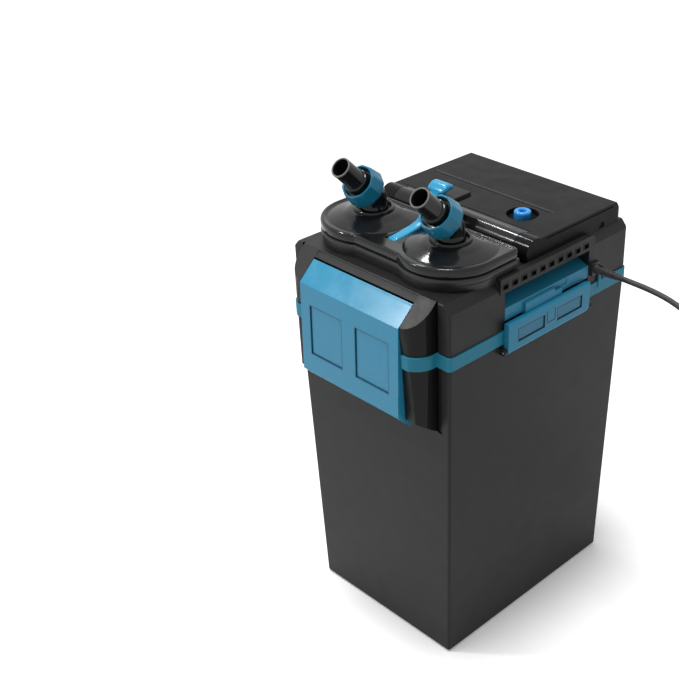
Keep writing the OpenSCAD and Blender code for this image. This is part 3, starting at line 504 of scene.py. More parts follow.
# %% [markdown]
# ### Marks on the clamps and the cover
# The recesses of the clamps get painted shade along their edges, the wide clamps a painted shadow
# along their top edge, and the cover a painted highlight in dots along the edge of a groove. The
# bar at the cover's front is polished. These could be modelled, at the cost of many thin faces
# that shimmer in a small render. As masks in the material they stay sharp, and they move with
# their piece. Each function gives pairs of a mask and a colour, which the plastic lays over its
# own tone, or a mask and a roughness for the polished bar.

# %% Marks
PAINTED_SHADE_BLUE = (0.004, 0.045, 0.085)
ROLL_Y, ROLL_Z, ROLL_R = -5.2, 385.5, 12.0


def wide_clamp_marks(s):
    """Painted shade: a dark line round the recesses, and a painted shadow along the top edge,
    under the head's roof.
    """
    x, y, z = s.axes()
    # painted shade: a dark blue line along the edges of the recesses
    line = s.outline(abs(x), z, (8.7, 289.4, 48.6, 336.3), 1.5)
    # painted shadow: near black along the clamp's top edge, where the opening to the head lies in
    # shade
    painted_gap_shadow = s.within(abs(y), 100.0, 122.4) * s.within(z, 362.0, 380.0)
    return [(line * 0.85, PAINTED_SHADE_BLUE), (painted_gap_shadow, (0.001, 0.002, 0.003))]


def side_clamp_marks(s):
    """Painted shade: dark lines round the two panels and the tongue between them, and darker,
    greyer panels.
    """
    x, y, z = s.axes()
    # painted shade: dark lines along the edges of the recessed panels and the grooves round the
    # tongue
    line = s.outline(y, z, (-39.2, 317.8, -5.2, 329.2), 1.5)
    line = line + s.outline(y, z, (12.3, 317.8, 45.8, 329.2), 1.5)
    tongue = s.outline(y, z, (-1.8, 320.4, 8.6, 345.0), 1.3) * s.within(z, 310.0, 332.0)
    face = s.span(abs(x), 99.6, 100.4, 0, 1)
    # painted shade: the recessed panels a little darker and greyer
    panels = (s.within(y, -39.2, -5.2) + s.within(y, 12.3, 45.8)) * s.within(z, 317.8, 329.2)
    return [(panels * face * 0.4, (0.040, 0.120, 0.180)),
            ((line + tongue) * face * 0.9, (0.002, 0.022, 0.038))]


def cover_painted_highlight(s):
    """A painted highlight in dots along the edge of a groove across the cover."""
    x, y, z = s.axes()
    dotted = s.span(s.noise(700.0, detail=1.0), 0.42, 0.58, 0.0, 1.0)
    # painted highlight: a light line where the groove's edge catches the light, broken into dots
    # by noise
    edge = s.within(y, 49.5, 50.3) * s.within(x, -82.0, 62.0) * s.within(z, 395.0, 397.0)
    return [(edge * dotted * 0.8, (0.16, 0.16, 0.16))]


def roll_gloss(s):
    """The polished bar: all points at the bar's radius from its axis."""
    y, z = s.axes()[1:]
    reach = ((y - ROLL_Y) ** 2 + (z - ROLL_Z) ** 2) ** 0.5
    return s.within(reach, ROLL_R - 0.6, ROLL_R + 0.4) * s.within(y, -40, 3.0), 0.13


print("marks ready")

# %% Marked plastics
MATERIALS.update({
    "cover": plastic("satin_cover", (0.0088, 0.0090, 0.0092), 0.44, specular=0.08,
                     marks=cover_painted_highlight, gloss=roll_gloss),
    "blue_clamp": plastic("blue_clamp", (0.016, 0.205, 0.345), 0.25, grain=0.000002,
                          specular=0.3, marks=wide_clamp_marks),
    "blue_side": plastic("blue_side", (0.018, 0.195, 0.325), 0.40, grain=0.00001, specular=0.2,
                         marks=side_clamp_marks),
})
print("marked plastics ready")

# %% [markdown]
# ### Rubber, metal, foam and sintered rings
# The cord, the plug and the feet are dull rubber with a little dust, the pins are drawn metal, and
# the filter media are open foam and porous rings. The plastic's function could serve for all, but
# their looks have other causes. Metal shows streaks along the direction in which it was drawn,
# which is noise stretched along one axis. Foam and rings show pores, which are Voronoi cells: the
# distance to the nearest cell centre darkens the pore and drives the bump.

# %% Other materials
def rubber(name, colour):
    """Dull rubber with a little dust."""
    s = Shader(name)
    dust = s.noise(220.0, detail=5.0)
    grain = s.noise(2600.0, detail=2.0)
    tone = s.tones(dust, [(0.35, shade(colour, 0.8)), (0.7, shade(colour, 1.5))])
    s.set(Base_Color=tone, Roughness=s.span(dust, 0.3, 0.7, 0.5, 0.68),
          Normal=s.bump(grain, 0.00002))
    return s.material


def metal(name, colour, rough):
    """Metal with streaks along x."""
    s = Shader(name)
    drawn = s.noise(900.0, detail=2.0, stretch=(0.05, 1, 1))
    s.set(Base_Color=s.tones(drawn, [(0.3, shade(colour, 0.85)), (0.7, colour)]), Metallic=1.0,
          Roughness=s.span(drawn, 0.3, 0.7, rough - 0.06, rough + 0.08),
          Normal=s.bump(drawn, 0.000006))
    return s.material


def foam(name, colour):
    """Foam with dark open cells."""
    s = Shader(name)
    pores = s.cells(420.0)
    s.set(Base_Color=s.tones(pores, [(0.1, shade(colour, 0.45)), (0.6, colour)]),
          Roughness=0.9, Normal=s.bump(pores, 0.0008))
    return s.material


def sintered(name, colour):
    """A pale baked material with fine pits."""
    s = Shader(name)
    pits = s.cells(900.0)
    cloud = s.noise(150.0, detail=4.0)
    s.set(Base_Color=s.tones(cloud, [(0.3, shade(colour, 0.8)), (0.7, shade(colour, 1.1))]),
          Roughness=0.85, Normal=s.bump(pits, 0.0003))
    return s.material


print("four more finishes ready")

# %% Rubber, metal and media
MATERIALS.update({
    "rubber": rubber("cord_rubber", (0.018, 0.018, 0.019)),
    "steel": metal("drawn_steel", (0.58, 0.58, 0.57), 0.28),
    "brass": metal("plain_brass", (0.78, 0.62, 0.30), 0.25),
    "coarse_foam": foam("coarse_foam", (0.03, 0.08, 0.2)),
    "fine_foam": foam("fine_foam", (0.82, 0.83, 0.82)),
    "bio_rings": sintered("sintered_rings", (0.68, 0.62, 0.52)),
})
curve.materials.append(MATERIALS["rubber"])
print("materials in all:", len(MATERIALS))

# %% [markdown]
# ## Helpers for the pieces
# Each finer piece needs three things: a material, the body that it moves with, and the CAD node
# that it stands for. They could be set by hand each time, but one helper can't forget any of them.
# Some pieces get a finish other than the one of their slot in the record, and a small table lists
# them.


def add_piece(name, mesh, slot, stands_for=(), body=None):
    """Links a mesh to the scene as a piece of the object and gives it its material."""
    piece = new_object(name, mesh)
    mesh.materials.clear()
    mesh.materials.append(MATERIALS[slot])
    stands_for = (stands_for,) if isinstance(stands_for, str) else tuple(stands_for)
    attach(piece, body or BODY_OF[stands_for[0]])
    if stands_for:
        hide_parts(*stands_for)
    return piece


def smooth(mesh, angle):
    """Smooth shading that keeps edges sharper than the angle."""
    mesh.shade_smooth()
    mesh.set_sharp_from_angle(angle=math.radians(angle))


# %% [markdown]
# ### Rounded edges
# Edges in CAD are perfectly sharp, and nothing that comes out of a mould is. A sharp edge catches
# no light, which makes a plain CAD render look false. The edges could be rounded in CAD, but
# hundreds of fillets are slow and can fail. A bevel modifier does the same on a mesh. `dress`
# copies the mesh of a CAD node, joins its flat faces, rounds the edges by a width that fits the
# piece, and weights the normals so that the flat faces stay flat.

# %% Rounded edges
def applied(piece):
    """Bakes the modifiers of a piece into its mesh."""
    graph = bpy.context.evaluated_depsgraph_get()
    baked = bpy.data.meshes.new_from_object(piece.evaluated_get(graph))
    old = piece.data
    piece.modifiers.clear()
    piece.data = baked
    bpy.data.meshes.remove(old)


def round_edges(piece, width):
    """Rounds all edges sharper than 30 degrees. Width is in millimetres."""
    bevel = piece.modifiers.new("edge", "BEVEL")
    bevel.width = width * MM
    bevel.segments = 3
    bevel.limit_method = "ANGLE"
    bevel.angle_limit = math.radians(30)
    bevel.use_clamp_overlap = True
    even = piece.modifiers.new("even", "WEIGHTED_NORMAL")
    even.weight = 100
    piece.data.shade_smooth()
    applied(piece)


def dress(node, width, slot=None):
    """Replaces a CAD node by its own mesh with rounded edges. Width is in millimetres."""
    work = bmesh.new()
    work.from_mesh(NODES[node].data)
    bmesh.ops.remove_doubles(work, verts=work.verts, dist=2e-6)
    bmesh.ops.dissolve_limit(work, angle_limit=math.radians(0.5), verts=work.verts,
                             edges=work.edges)
    mesh = bpy.data.meshes.new(node + "_dressed")
    work.to_mesh(mesh)
    work.free()
    piece = add_piece(node + "_dressed", mesh, slot or SLOT_OF[node], node)
    round_edges(piece, width)
    return piece


print("edges can be rounded")

# %% [markdown]
# ### Skins over rings
# Domes, tubes, nuts and the lever are stacks of closed outlines. They could be spun or swept by
# modifiers, but a skin over rings of points gives a say over every section, and takes one loop:
# each ring is joined to the next by four-sided faces. `turned` makes the rings of a round shape
# from a list of radii and heights, as a lathe would. A bmesh is an open mesh that takes points and
# faces one by one, and `finished` closes it.

# %% Skins over rings
def points(work, ring):
    """New points of a mesh at places in millimetres."""
    return [work.verts.new(Vector(p) * MM) for p in ring]


def bridge(work, rows):
    """Joins each row of points to the next by four-sided faces."""
    for low, high in zip(rows, rows[1:]):
        for k in range(len(low)):
            j = (k + 1) % len(low)
            work.faces.new((low[k], low[j], high[j], high[k]))


def finished(work, name, angle=None):
    """Turns the faces outwards and makes a mesh, smooth where an angle is given."""
    bmesh.ops.recalc_face_normals(work, faces=work.faces)
    mesh = bpy.data.meshes.new(name)
    work.to_mesh(mesh)
    work.free()
    if angle:
        smooth(mesh, angle)
    return mesh


def loft(name, rings, slot, stands_for=(), body=None, caps=(True, True), angle=32):
    """A skin over rings of points in millimetres, each ring with the same count."""
    work = bmesh.new()
    rows = [points(work, ring) for ring in rings]
    bridge(work, rows)
    if caps[0]:
        work.faces.new(list(reversed(rows[0])))
    if caps[1]:
        work.faces.new(rows[-1])
    return add_piece(name, finished(work, name, angle), slot, stands_for, body)


def circle(steps):
    """The angles of evenly spaced points on a circle."""
    return [2 * math.pi * k / steps for k in range(steps)]


def turned(profile, steps, place):
    """Rings of a shape turned round its own axis from (radius, along) pairs, then placed."""
    return [[place @ Vector((r * math.cos(a), r * math.sin(a), along)) for a in circle(steps)]
            for r, along in profile]


print("skins ready")

# %% [markdown]
# ## Plain moulded pieces
# The canister, the head, the cover, the clamps and the pins need no finer shape than CAD gives
# them. Each gets a bevel that fits it: wide on the canister's big corners, narrow on the thin side
# clamps. The columns, the slits beside them and the pedestal's top belong to larger meshes, and
# their faces get painted light and shade: a darker black as painted shade on the columns' fronts,
# near black as painted shade on the slits' walls, and the pedestal's lighter black as painted
# light on the top. They could be cut off as separate pieces. It is simpler, and leaves no seam, to
# give their faces another material, chosen by place and direction.

# %% Dress the hard pieces
BEVELS = {
    "canister": 1.2, "rubber_feet": 0.3, "seal_band": 0.5, "pump_head": 0.8,
    "motor_cover": 0.6, "grip_bar": 0.4, "lever_catch": 0.8, "front_clamp": 0.7,
    "rear_clamp": 0.7, "side_clamp_right": 0.35, "side_clamp_left": 0.35,
    "strain_relief": 0.2, "valve_spigots": 0.3, "front_clamp_pins": 0.3,
    "rear_clamp_pins": 0.3, "side_pin_right": 0.3, "side_pin_left": 0.3,
}
CHANGED = {"side_clamp_right": "blue_side", "side_clamp_left": "blue_side",
           "lever_catch": "head"}
WALL_Y, COLUMN_OUT, COLUMN_TOP, SLIT_OUT = 116.5, 80.0, 372, 86
for node, width in BEVELS.items():
    piece = dress(node, width, CHANGED.get(node))
    if node not in ("canister", "pump_head"):
        continue
    for finish in ("column", "slit", "pedestal"):
        piece.data.materials.append(MATERIALS[finish])
    # material 1 is painted shade on the columns' fronts, 2 near-black painted shade on the slits'
    # walls, 3 the pedestal's lighter black as painted light
    for face in piece.data.polygons:
        x, y, z = (abs(c) / MM for c in face.center)
        if y > WALL_Y + 0.6 and x < COLUMN_OUT + 0.2 and z < COLUMN_TOP and face.normal.z < 0.5:
            face.material_index = 1
        if y > WALL_Y - 3 and COLUMN_OUT - 1 < x < SLIT_OUT and abs(face.normal.x) > 0.93:
            face.material_index = 2
        if z > PEDESTAL_Z - 1:
            face.material_index = 3
print("dressed:", ", ".join(BEVELS))

# %% [markdown]
# ## Valve block
# The glossy block that carries the fittings has two round lobes in front, a waist between them, a
# straight rear edge and a soft rolled rim. A bevel on the CAD shape would go wrong at the waist,
# where the arcs bend the other way. So the outline is built from lines and arcs that can be drawn
# in by any distance, and the rim is a stack of such outlines at rising heights.

# %% Block outline
def arc(cx, cy, r, a0, a1, steps):
    """Points on an arc round (cx, cy) from a0 to a1 degrees."""
    return [(cx + r * math.cos(math.radians(a0 + (a1 - a0) * k / steps)),
             cy + r * math.sin(math.radians(a0 + (a1 - a0) * k / steps)))
            for k in range(steps + 1)]


def block_outline(inset, fillet=8.0, corner=5.0):
    """The outline of the block, counter-clockwise, drawn in by inset."""
    run = math.sqrt((LOBE_R + fillet) ** 2 - (LOBE_Y - WAIST_Y + fillet) ** 2)
    fx = PORT_X - run
    turn = math.degrees(math.atan2(LOBE_Y - WAIST_Y + fillet, run))
    x1, y1 = PORT_X + LOBE_R - inset - 0.3, REAR_Y - inset
    corner = max(corner - inset, 0.4)
    half = arc(fx, WAIST_Y - fillet, fillet + inset, 90, turn, 6)
    half += arc(PORT_X, LOBE_Y, LOBE_R - inset, turn - 180, -1.0, 30)
    half += arc(x1 - corner, y1 - corner, corner, 0, 90, 6)
    return half + [(-x, y) for x, y in reversed(half)]


def at_height(outline, z):
    """A flat outline lifted to a height."""
    return [(x, y, z) for x, y in outline]


print("outline of the block:", len(block_outline(0)), "points")

# %% [markdown]
# ### Block body
# The lever lies in a channel along the middle of the block. A boolean could cut it out, but it
# would also cut the rim's neat rows into slivers. Here the flat top is filled round the channel
# from the start, by a routine that fills an outline with another one as its hole, and the
# channel's walls are a ring of faces.

# %% Block body
CHANNEL_X, CHANNEL_FRONT, CHANNEL_REAR, CHANNEL_R = 4.5, -88.5, -37.2, 1.5
CHANNEL = (arc(-CHANNEL_X, CHANNEL_FRONT, CHANNEL_R, 180, 270, 4)
           + arc(CHANNEL_X, CHANNEL_FRONT, CHANNEL_R, 270, 360, 4)
           + arc(CHANNEL_X, CHANNEL_REAR, CHANNEL_R, 0, 90, 4)
           + arc(-CHANNEL_X, CHANNEL_REAR, CHANNEL_R, 90, 180, 4))
RIM = [(3.6, 388.6), (3.6, 390.0), (0.9, 390.0), (0.25, 390.5), (0.0, 391.4), (0.0, 395.6),
       (0.25, 396.8), (0.9, 397.7), (1.9, 398.1), (3.0, 398.1), (3.8, 397.8), (4.4, 397.3),
       (5.2, 397.1)]

work = bmesh.new()
rows = [points(work, at_height(block_outline(inset), z)) for inset, z in RIM]
bridge(work, rows)
lips = [points(work, at_height(CHANNEL, z)) for z in (397.1, 390.0)]
bridge(work, lips)
for loops in ([rows[-1], lips[0]], [rows[0]]):
    ring = sum(loops, [])
    for tri in tessellate_polygon([[v.co for v in loop] for loop in loops]):
        work.faces.new([ring[i] for i in tri])
work.normal_update()
add_piece("valve_block_body", finished(work, "valve_block_body", 40), "gloss_black",
          "valve_block")
print("rows on the rim:", len(RIM))

# %% [markdown]
# ### Domes
# A shallow dome rises from each lobe to the collar of its fitting, and a bright line of light runs
# round its flank. A part of a sphere would meet the block in a hard seam. Here each dome is a fan
# of rings: the lowest follows the lobe, the channel or the rear edge, whichever is nearest, and
# the rings shrink towards a circle under the collar. Inside the collar the skin goes down again,
# so that the fitting stands in a socket.

# %% Domes
def dome_reach(a):
    """How far the foot of a dome reaches from the fitting's axis in the direction a."""
    c, s = math.cos(a), math.sin(a)
    reach = 40.6
    if c > 1e-6:
        reach = min(reach, (PORT_X - 7.2) / c)
    if s > 1e-6:
        reach = min(reach, (REAR_Y - 5.5 - PORT_Y) / s)
    return reach


DOME = [(0.0, 397.0), (0.04, 397.45), (0.12, 398.0), (0.3, 399.2), (0.5, 400.5), (0.66, 401.4),
        (0.70, 401.9), (0.84, 402.8), (0.95, 403.4), (1.0, 403.5)]
SOCKET = [(17.4, 403.2), (15.6, 402.2), (13.6, 401.4), (12.2, 401.2), (12.2, 395.0)]
DOME_EDGE, DOME_STEPS = 18.2, 96
for side, name in ((1, "right"), (-1, "left")):
    reaches = [(z, [dome_reach(a) * (1 - t) + DOME_EDGE * t for a in circle(DOME_STEPS)])
               for t, z in DOME]
    reaches += [(z, [r] * DOME_STEPS) for r, z in SOCKET]
    rings = [[(side * (PORT_X - r * math.cos(a)), PORT_Y + r * math.sin(a), z)
              for r, a in zip(reach, circle(DOME_STEPS))] for z, reach in reaches]
    loft(f"dome_{name}", rings, "gloss_black", body=BODY_OF["valve_block"], caps=(False, False),
         angle=50)
print("domes made")

# %% [markdown]
# ### Collars
# A low ring stands round the foot of each fitting and stays put while the fitting turns in it. Two
# tori would be quick, but the real section is a flat band with soft shoulders. Both rings are
# turned from one profile and kept in one mesh, as they are one node in the CAD model.

# %% Collars
collar_profile = [(15.3, 402.4), (15.2, 404.9), (15.5, 405.6), (16.2, 405.9), (17.0, 405.9),
                  (17.7, 405.5), (18.0, 404.6), (18.0, 402.4)]
work = bmesh.new()
for side in (1, -1):
    axis = Matrix.Translation((side * PORT_X, PORT_Y, 0))
    rows = [points(work, ring) for ring in turned(collar_profile, 72, axis)]
    bridge(work, rows + rows[:1])
add_piece("collars", finished(work, "collars", 50), "gloss_black", "swivel_collars")
print("collars made")

# %% [markdown]
# ### Pedestal
# Under the block the head rises in a pedestal that bulges over a drawn-in foot and leaves a dark
# line of shadow below the block. A bevel on the CAD shape would give a round edge but no bulge.
# This skin uses the outline of the block at other distances, so the two always match. It turns
# down at the top and ends inside the head's own top face, which keeps the two sockets open when
# the block is lifted off.

# %% Pedestal
PEDESTAL = [(3.0, 370.5), (2.4, 376.0), (1.9, 378.0), (1.2, 380.5), (0.6, 383.0), (0.1, 385.0),
            (-0.1, 386.6), (0.1, 387.9), (0.8, 388.6), (2.2, 388.9), (2.8, 388.75), (3.3, 388.4)]
# the pedestal's material is a lighter black as painted light
loft("pedestal", [at_height(block_outline(d), z) for d, z in PEDESTAL], "pedestal",
     body=BODY_OF["pump_head"], angle=50, caps=(False, False))
print("pedestal made")

# %% [markdown]
# ## Hose fittings
# Each fitting is an upright stem with a bead, a bend of 45 degrees and a wider neck that the nut
# grips. A curve with a bevel could make the bend, but the bead and the neck need other radii along
# the way. So the rings are placed one by one: upright along the stem, then turned step by step
# round the centre of the bend, then along the tilted axis.

# %% Elbow rings
TILT = math.radians(45)


def tilt_of(x):
    """The matrix that lays a shape drawn along +Z onto the tilted tube, from the bend."""
    return Matrix.Translation((x, PORT_Y, BEND_Z)) @ Matrix.Rotation(TILT, 4, "X")


def elbow_rings(x, steps=48):
    """Rings along the stem, round the bend and along the neck; (radius, place on the axis)."""
    bend_r, bend_steps = 10.0, 8
    reach = bend_r * math.tan(TILT / 2)
    stem = [(12.0, -20.0), (12.0, -16.0), (12.0, -12.5), (12.6, -11.6), (12.6, -9.6),
            (12.0, -8.6), (11.9, -reach)]
    neck = [(12.2, 6.0), (12.8, 8.0), (12.8, 17.4), (9.0, 17.5), (8.0, 12.0)]
    rings = turned(stem, steps, Matrix.Translation((x, PORT_Y, BEND_Z)))
    for n in range(1, bend_steps + 1):
        turn = TILT * n / bend_steps
        centre = Vector((x, PORT_Y - bend_r, BEND_Z - reach))
        middle = centre + Vector((0, bend_r * math.cos(turn), bend_r * math.sin(turn)))
        out = Vector((0, math.cos(turn), math.sin(turn)))
        rings.append([middle + 12.0 * (Vector((math.cos(a), 0, 0)) + math.sin(a) * out)
                      for a in circle(steps)])
    return rings + turned(neck, steps, tilt_of(x))


print("rings on an elbow:", len(elbow_rings(PORT_X)))

# %% [markdown]
# ### Union nuts
# The blue nut holds the hose on its tube and is turned by hand. It has ten flat grips that fade
# into round ends. A cylinder with ten sides would have hard corners from end to end. Every ring
# here is a mix of a circle and a ten-sided outline, and the third number of each station says how
# flat the sides are there. The front is an open cup with a dark floor round the tube.

# %% Union nut rings
def nut_rings(x, sides=10, per_side=8):
    """A nut with flat sides, full at its middle and drawn in to round ends."""
    stations = [(12.95, 8.3, 0.0), (13.8, 7.7, 0.3), (15.4, 7.9, 0.9), (17.4, 10.0, 1.0),
                (18.1, 11.4, 1.0), (18.0, 12.6, 1.0), (16.5, 23.8, 1.0), (16.1, 25.0, 1.0),
                (15.6, 25.5, 0.9), (14.4, 25.5, 0.5), (13.9, 25.2, 0.2), (13.7, 24.6, 0.0),
                (13.5, 19.4, 0.0), (11.3, 19.4, 0.0)]
    tilt, half_side = tilt_of(x), math.pi / sides
    rings = []
    for r, along, flat in stations:
        ring = []
        for k in range(sides * per_side):
            a = 2 * math.pi * (k + 0.5) / (sides * per_side)
            square = math.cos(half_side) / math.cos(a % (2 * half_side) - half_side)
            size = r * (1 + (square - 1) * flat)
            ring.append(tilt @ Vector((size * math.cos(a), size * math.sin(a), along)))
        rings.append(ring)
    return rings


print("rings on a nut:", len(nut_rings(PORT_X)))

# %% [markdown]
# ### Tubes and assembly
# The plain tube in front of the nut takes the hose. Its profile is turned from the inside out and
# closed on itself, so the wall has a real thickness at the mouth. A thin pale lip lies over the
# rim as a painted highlight, where the rim catches the light. Left and right fittings come from
# the same rings, moved to their own axes.

# %% Fittings
TUBE = [(BORE_R, 18.0), (BORE_R, 49.6), (7.9, 50.2), (8.4, 50.5), (8.8, 50.4), (9.15, 49.9),
        (HOSE_R, 49.0), (HOSE_R, 29.0), (9.3, 28.6), (10.2, 28.3), (10.6, 27.9), (10.7, 27.2),
        (10.8, 25.0), (11.0, 21.5), (13.3, 21.3), (13.3, 19.9), (12.4, 19.6), (12.4, 17.7)]
for x, name in ((PORT_X, "right"), (-PORT_X, "left")):
    loft(f"elbow_{name}_bend", elbow_rings(x), "gloss_black", f"elbow_{name}", angle=40)
    loft(f"nut_{name}", nut_rings(x), "blue_nut", f"union_nut_{name}", caps=(False, False),
         angle=20)
    rings = turned(TUBE, 64, tilt_of(x))
    loft(f"tube_{name}", rings + [rings[0]], "gloss_black", f"hose_end_{name}",
         caps=(False, False), angle=40)
    # a pale lip on the rim as a painted highlight
    lip = [(7.75, 50.0), (7.85, 50.45), (8.2, 50.62), (8.7, 50.6), (9.1, 50.3), (9.2, 49.7)]
    loft(f"mouth_{name}", turned(lip, 64, tilt_of(x)), "mouth_highlight", body=BODY_OF[f"hose_end_{name}"],
         caps=(False, False), angle=60)
print("fittings made")

# %% [markdown]
# ## Shut-off lever
# The blue lever lies in the channel of the block, rises between the fittings and ends in a rolled
# finger tab. It could be a curve with a bevel, but its width and its thickness both change along
# the way. A skin over rounded sections gives both. Each row of the table holds the place, the half
# width, the half thickness and the lean of one section.

# %% Lever
def rounded_section(y, z, half_w, half_t, lean, steps=6):
    """A rounded rectangle across the lever at (y, z), leaning with the lever's direction."""
    corner = min(1.6 if half_w < 5.5 else 2.7, half_t * 0.9)
    flat = []
    for cx, cy, a0 in ((1, 1, 0), (-1, 1, 90), (-1, -1, 180), (1, -1, 270)):
        flat += [(cx * (half_w - corner) + corner * math.cos(math.radians(a0 + 90 * k / steps)),
                  cy * (half_t - corner) + corner * math.sin(math.radians(a0 + 90 * k / steps)))
                 for k in range(steps + 1)]
    n = Vector((0, -math.sin(lean), math.cos(lean)))
    return [Vector((u, y, z)) + v * n for u, v in flat]


ARM = [(-87.4, 393.6, 4.6, 1.6, 4), (-86.9, 393.8, 4.95, 2.6, 4), (-84.0, 394.0, 5.0, 3.2, 6),
       (-74.0, 394.9, 5.0, 3.0, 8), (-62.0, 396.8, 5.0, 2.7, 13), (-53.0, 399.3, 5.0, 2.6, 22),
       (-46.0, 403.2, 5.0, 2.6, 38), (-41.0, 408.6, 5.0, 2.6, 54), (-38.0, 414.0, 5.0, 2.6, 60),
       (-35.6, 418.6, 5.0, 2.6, 60), (-33.9, 421.6, 5.6, 2.6, 56), (-33.5, 422.2, 8.6, 2.7, 52),
       (-33.0, 422.9, 9.8, 2.9, 48), (-31.0, 424.9, 10.0, 3.1, 34), (-28.4, 426.2, 10.0, 3.2, 16),
       (-25.6, 426.5, 10.0, 3.0, -6), (-23.6, 425.8, 9.8, 2.5, -24), (-22.4, 424.9, 9.2, 1.8, -38),
       (-21.9, 424.4, 7.8, 0.9, -42)]
loft("lever", [rounded_section(y, z, w, t, math.radians(a)) for y, z, w, t, a in ARM],
     "blue_gloss", "shutoff_lever", angle=60)
print("lever sections:", len(ARM))

# %% [markdown]
# ### Priming button and its spring
# The button is a short turned piece with a dimple for the fingertip. Pressing it draws water into
# the hoses. Under it stands a spring that gets shorter as the button goes down. If the spring rode
# on either piece alone, it would cut through the other. Here it is a copy of the CAD node's mesh
# on the spring's own body, and its height and the button's travel are worked out.

# %% Button and spring
button_profile = [(0.0, 386.1), (7.2, 386.1), (7.7, 386.6), (7.7, 397.2), (7.5, 398.2),
                  (6.9, 398.85), (6.0, 399.0), (4.3, 399.0), (3.7, 398.7), (3.4, 398.0),
                  (3.2, 395.4), (0.0, 395.2)]
BUTTON_AXIS = Matrix.Translation((BUTTON_X, BUTTON_Y, 0))
rings = turned([(max(r, 0.01), z) for r, z in button_profile], 56, BUTTON_AXIS)
loft("button", rings, "blue_button", "priming_button", angle=50)

low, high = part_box("button_spring")
spring = add_piece("spring_coil", NODES["button_spring"].data.copy(), "steel", "button_spring")
spring_height, press = high[2] - low[2], mm(6)
mm(BUTTON_X)
mm(BUTTON_Y)
(spring_height - press) / spring_height - 0.02
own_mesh(spring)
print("the spring is", round(spring_height / MM, 2), "mm high")

# %% [markdown]
# ## Small parts of the head
# A row of ten framed vents runs over the side clamp on both sides. The frames could be cut out of
# the head by booleans, but four thin bars laid on the wall for each vent look the same and can't
# fail. The button sits in a round well, whose inside lies in shade. A turned liner in near black
# covers its wall and floor as painted shade, and leaves a hole for the button's stem.

# %% Vents and well
VENTS, VENT_Y, VENT_PITCH, VENT_Z = 10, -50.7, (112.0 - 5.8) / 9, 371.6
VENT_X, VENT_PROUD = 95.9, 0.45
BARS = [(-3.6, -3.0, -2.8, 2.8), (3.0, 3.6, -2.8, 2.8), (-3.0, 3.0, 2.2, 2.8),
        (-3.0, 3.0, -2.8, -2.2)]  # y0, y1, z0, z1 from the middle of a vent
work = bmesh.new()
for side in (1, -1):
    for i in range(VENTS):
        for y0, y1, z0, z1 in BARS:
            for v in bmesh.ops.create_cube(work, size=1.0)["verts"]:
                v.co = mm(side * (VENT_X + VENT_PROUD * (v.co.x + 0.5)),
                          VENT_Y + i * VENT_PITCH + y0 + (y1 - y0) * (v.co.y + 0.5),
                          VENT_Z + z0 + (z1 - z0) * (v.co.z + 0.5))
add_piece("vent_frames", finished(work, "vent_frames"), "head", body=BODY_OF["pump_head"])

# a near-black liner as painted shade in the well
liner = [(14.45, 395.6), (14.3, 391.3), (13.0, 391.06), (7.85, 391.06)]
loft("well_shade_liner", turned(liner, 64, BUTTON_AXIS), "well", body=BODY_OF["motor_cover"],
     caps=(False, False))
print("vents and well made")

# %% [markdown]
# ## Carried-over nodes
# The plug and everything inside the canister keep their CAD meshes, because their edges are hardly
# ever seen. They still get a full material, so that they look right when the filter is taken apart
# or a piece is used alone. Nodes that a finer piece stands for are hidden, but they stay in the
# model for collision and get their material too.

# %% Carried-over nodes
for node, piece in NODES.items():
    piece.data.materials.clear()
    piece.data.materials.append(MATERIALS[SLOT_OF[node]])
print("every CAD node has its material")

# %% [markdown]
# ## Floor and white room
# The filter stands on a pale floor in a white room. The lamps could be turned up until the floor
# is white, but that would wash out the black plastic. Instead the floor glows a little, and the
# world is full white, only for rays that show the background: those to the camera, those off a
# shine and those through glass. All other light on the object stays plain, and the glow is weak
# enough for the floor to keep the object's shadow.

# %% Floor and room
def background_rays(nodes):
    """1 for rays that go to the camera, off a shine or through glass, 0 for all others."""
    path = nodes.node("ShaderNodeLightPath")
    names = ("Is Camera Ray", "Is Glossy Ray", "Is Transmission Ray")
    camera_ray, glossy_ray, glass_ray = nodes.outputs(path, names)
    return camera_ray + glossy_ray + glass_ray


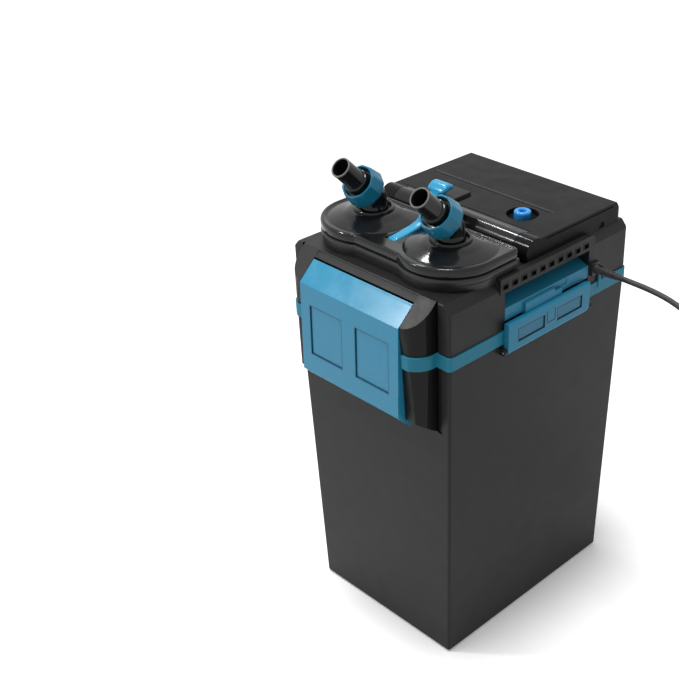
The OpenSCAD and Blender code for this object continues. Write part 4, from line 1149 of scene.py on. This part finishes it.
BLACK, WHITE = (0.0, 0.0, 0.0), (1.0, 1.0, 1.0)
FLOOR_REACH, FLOOR_GLOW, ROOM_LIGHT = 1.6, 0.18, 0.42
floor_shader = Shader("pale_floor")
floor_noise = floor_shader.noise(3.0, detail=3.0)
floor_shader.set(Base_Color=floor_shader.tones(floor_noise, [(0.3, shade(WHITE, 0.80)),
                                                            (0.7, shade(WHITE, 0.84))]),
                 Roughness=floor_shader.span(floor_noise, 0.3, 0.7, 0.62, 0.70),
                 Emission_Color=floor_shader.mix(background_rays(floor_shader), BLACK, WHITE),
                 Emission_Strength=FLOOR_GLOW)
floor_mesh = bpy.data.meshes.new("floor")
corners = [(x * FLOOR_REACH, y * FLOOR_REACH, 0) for x, y in ((-1, -1), (1, -1), (1, 1), (-1, 1))]
floor_mesh.from_pydata(corners, [], [(0, 1, 2, 3)])
floor_mesh.materials.append(floor_shader.material)
new_object("floor", floor_mesh)

world = bpy.data.worlds.new("studio")
bpy.context.scene.world = world
world.use_nodes = True
background = world.node_tree.nodes["Background"]
room = Patterns(tree=world.node_tree)
room.plug(background.inputs["Color"], (*WHITE, 1))
room.plug(background.inputs["Strength"], room.span(background_rays(room), 0, 1, ROOM_LIGHT, 1.0))
print("floor and room ready")

# %% [markdown]
# ### Lamps
# Two small lamps draw the thin highlights: one from the front left on the domes, the rolled rim
# and the slopes of the clamps, and one from behind the left edge along the tops. A wide sun
# straight above gives the soft shadow. Large soft boxes would light more evenly, but black plastic
# shows its form mostly by crisp lines of light, and those need small lamps.

# %% Lamps
def area_light(name, place, target, size, power):
    """A square lamp at a place, aimed at a target."""
    data = bpy.data.lights.new(name, "AREA")
    data.shape = "SQUARE"
    data.size = size
    data.energy = power
    aim(new_object(name, data), place, target)


area_light("key", (-0.430, -0.554, 0.957), (0.05, -0.13, 0.362), 0.08, 3.5)
area_light("rim", (-0.65, 0.25, 1.33), (0.0, 0.0, 0.39), 0.08, 2.2)
sun_data = bpy.data.lights.new("overhead", "SUN")
sun_data.energy = 2.5
sun_data.angle = math.radians(16)
sun = new_object("overhead", sun_data)
sun.rotation_euler = (math.radians(3), math.radians(-4), 0)
bpy.context.scene.view_settings.view_transform = "Standard"
print("lamps:", len(bpy.data.lights))
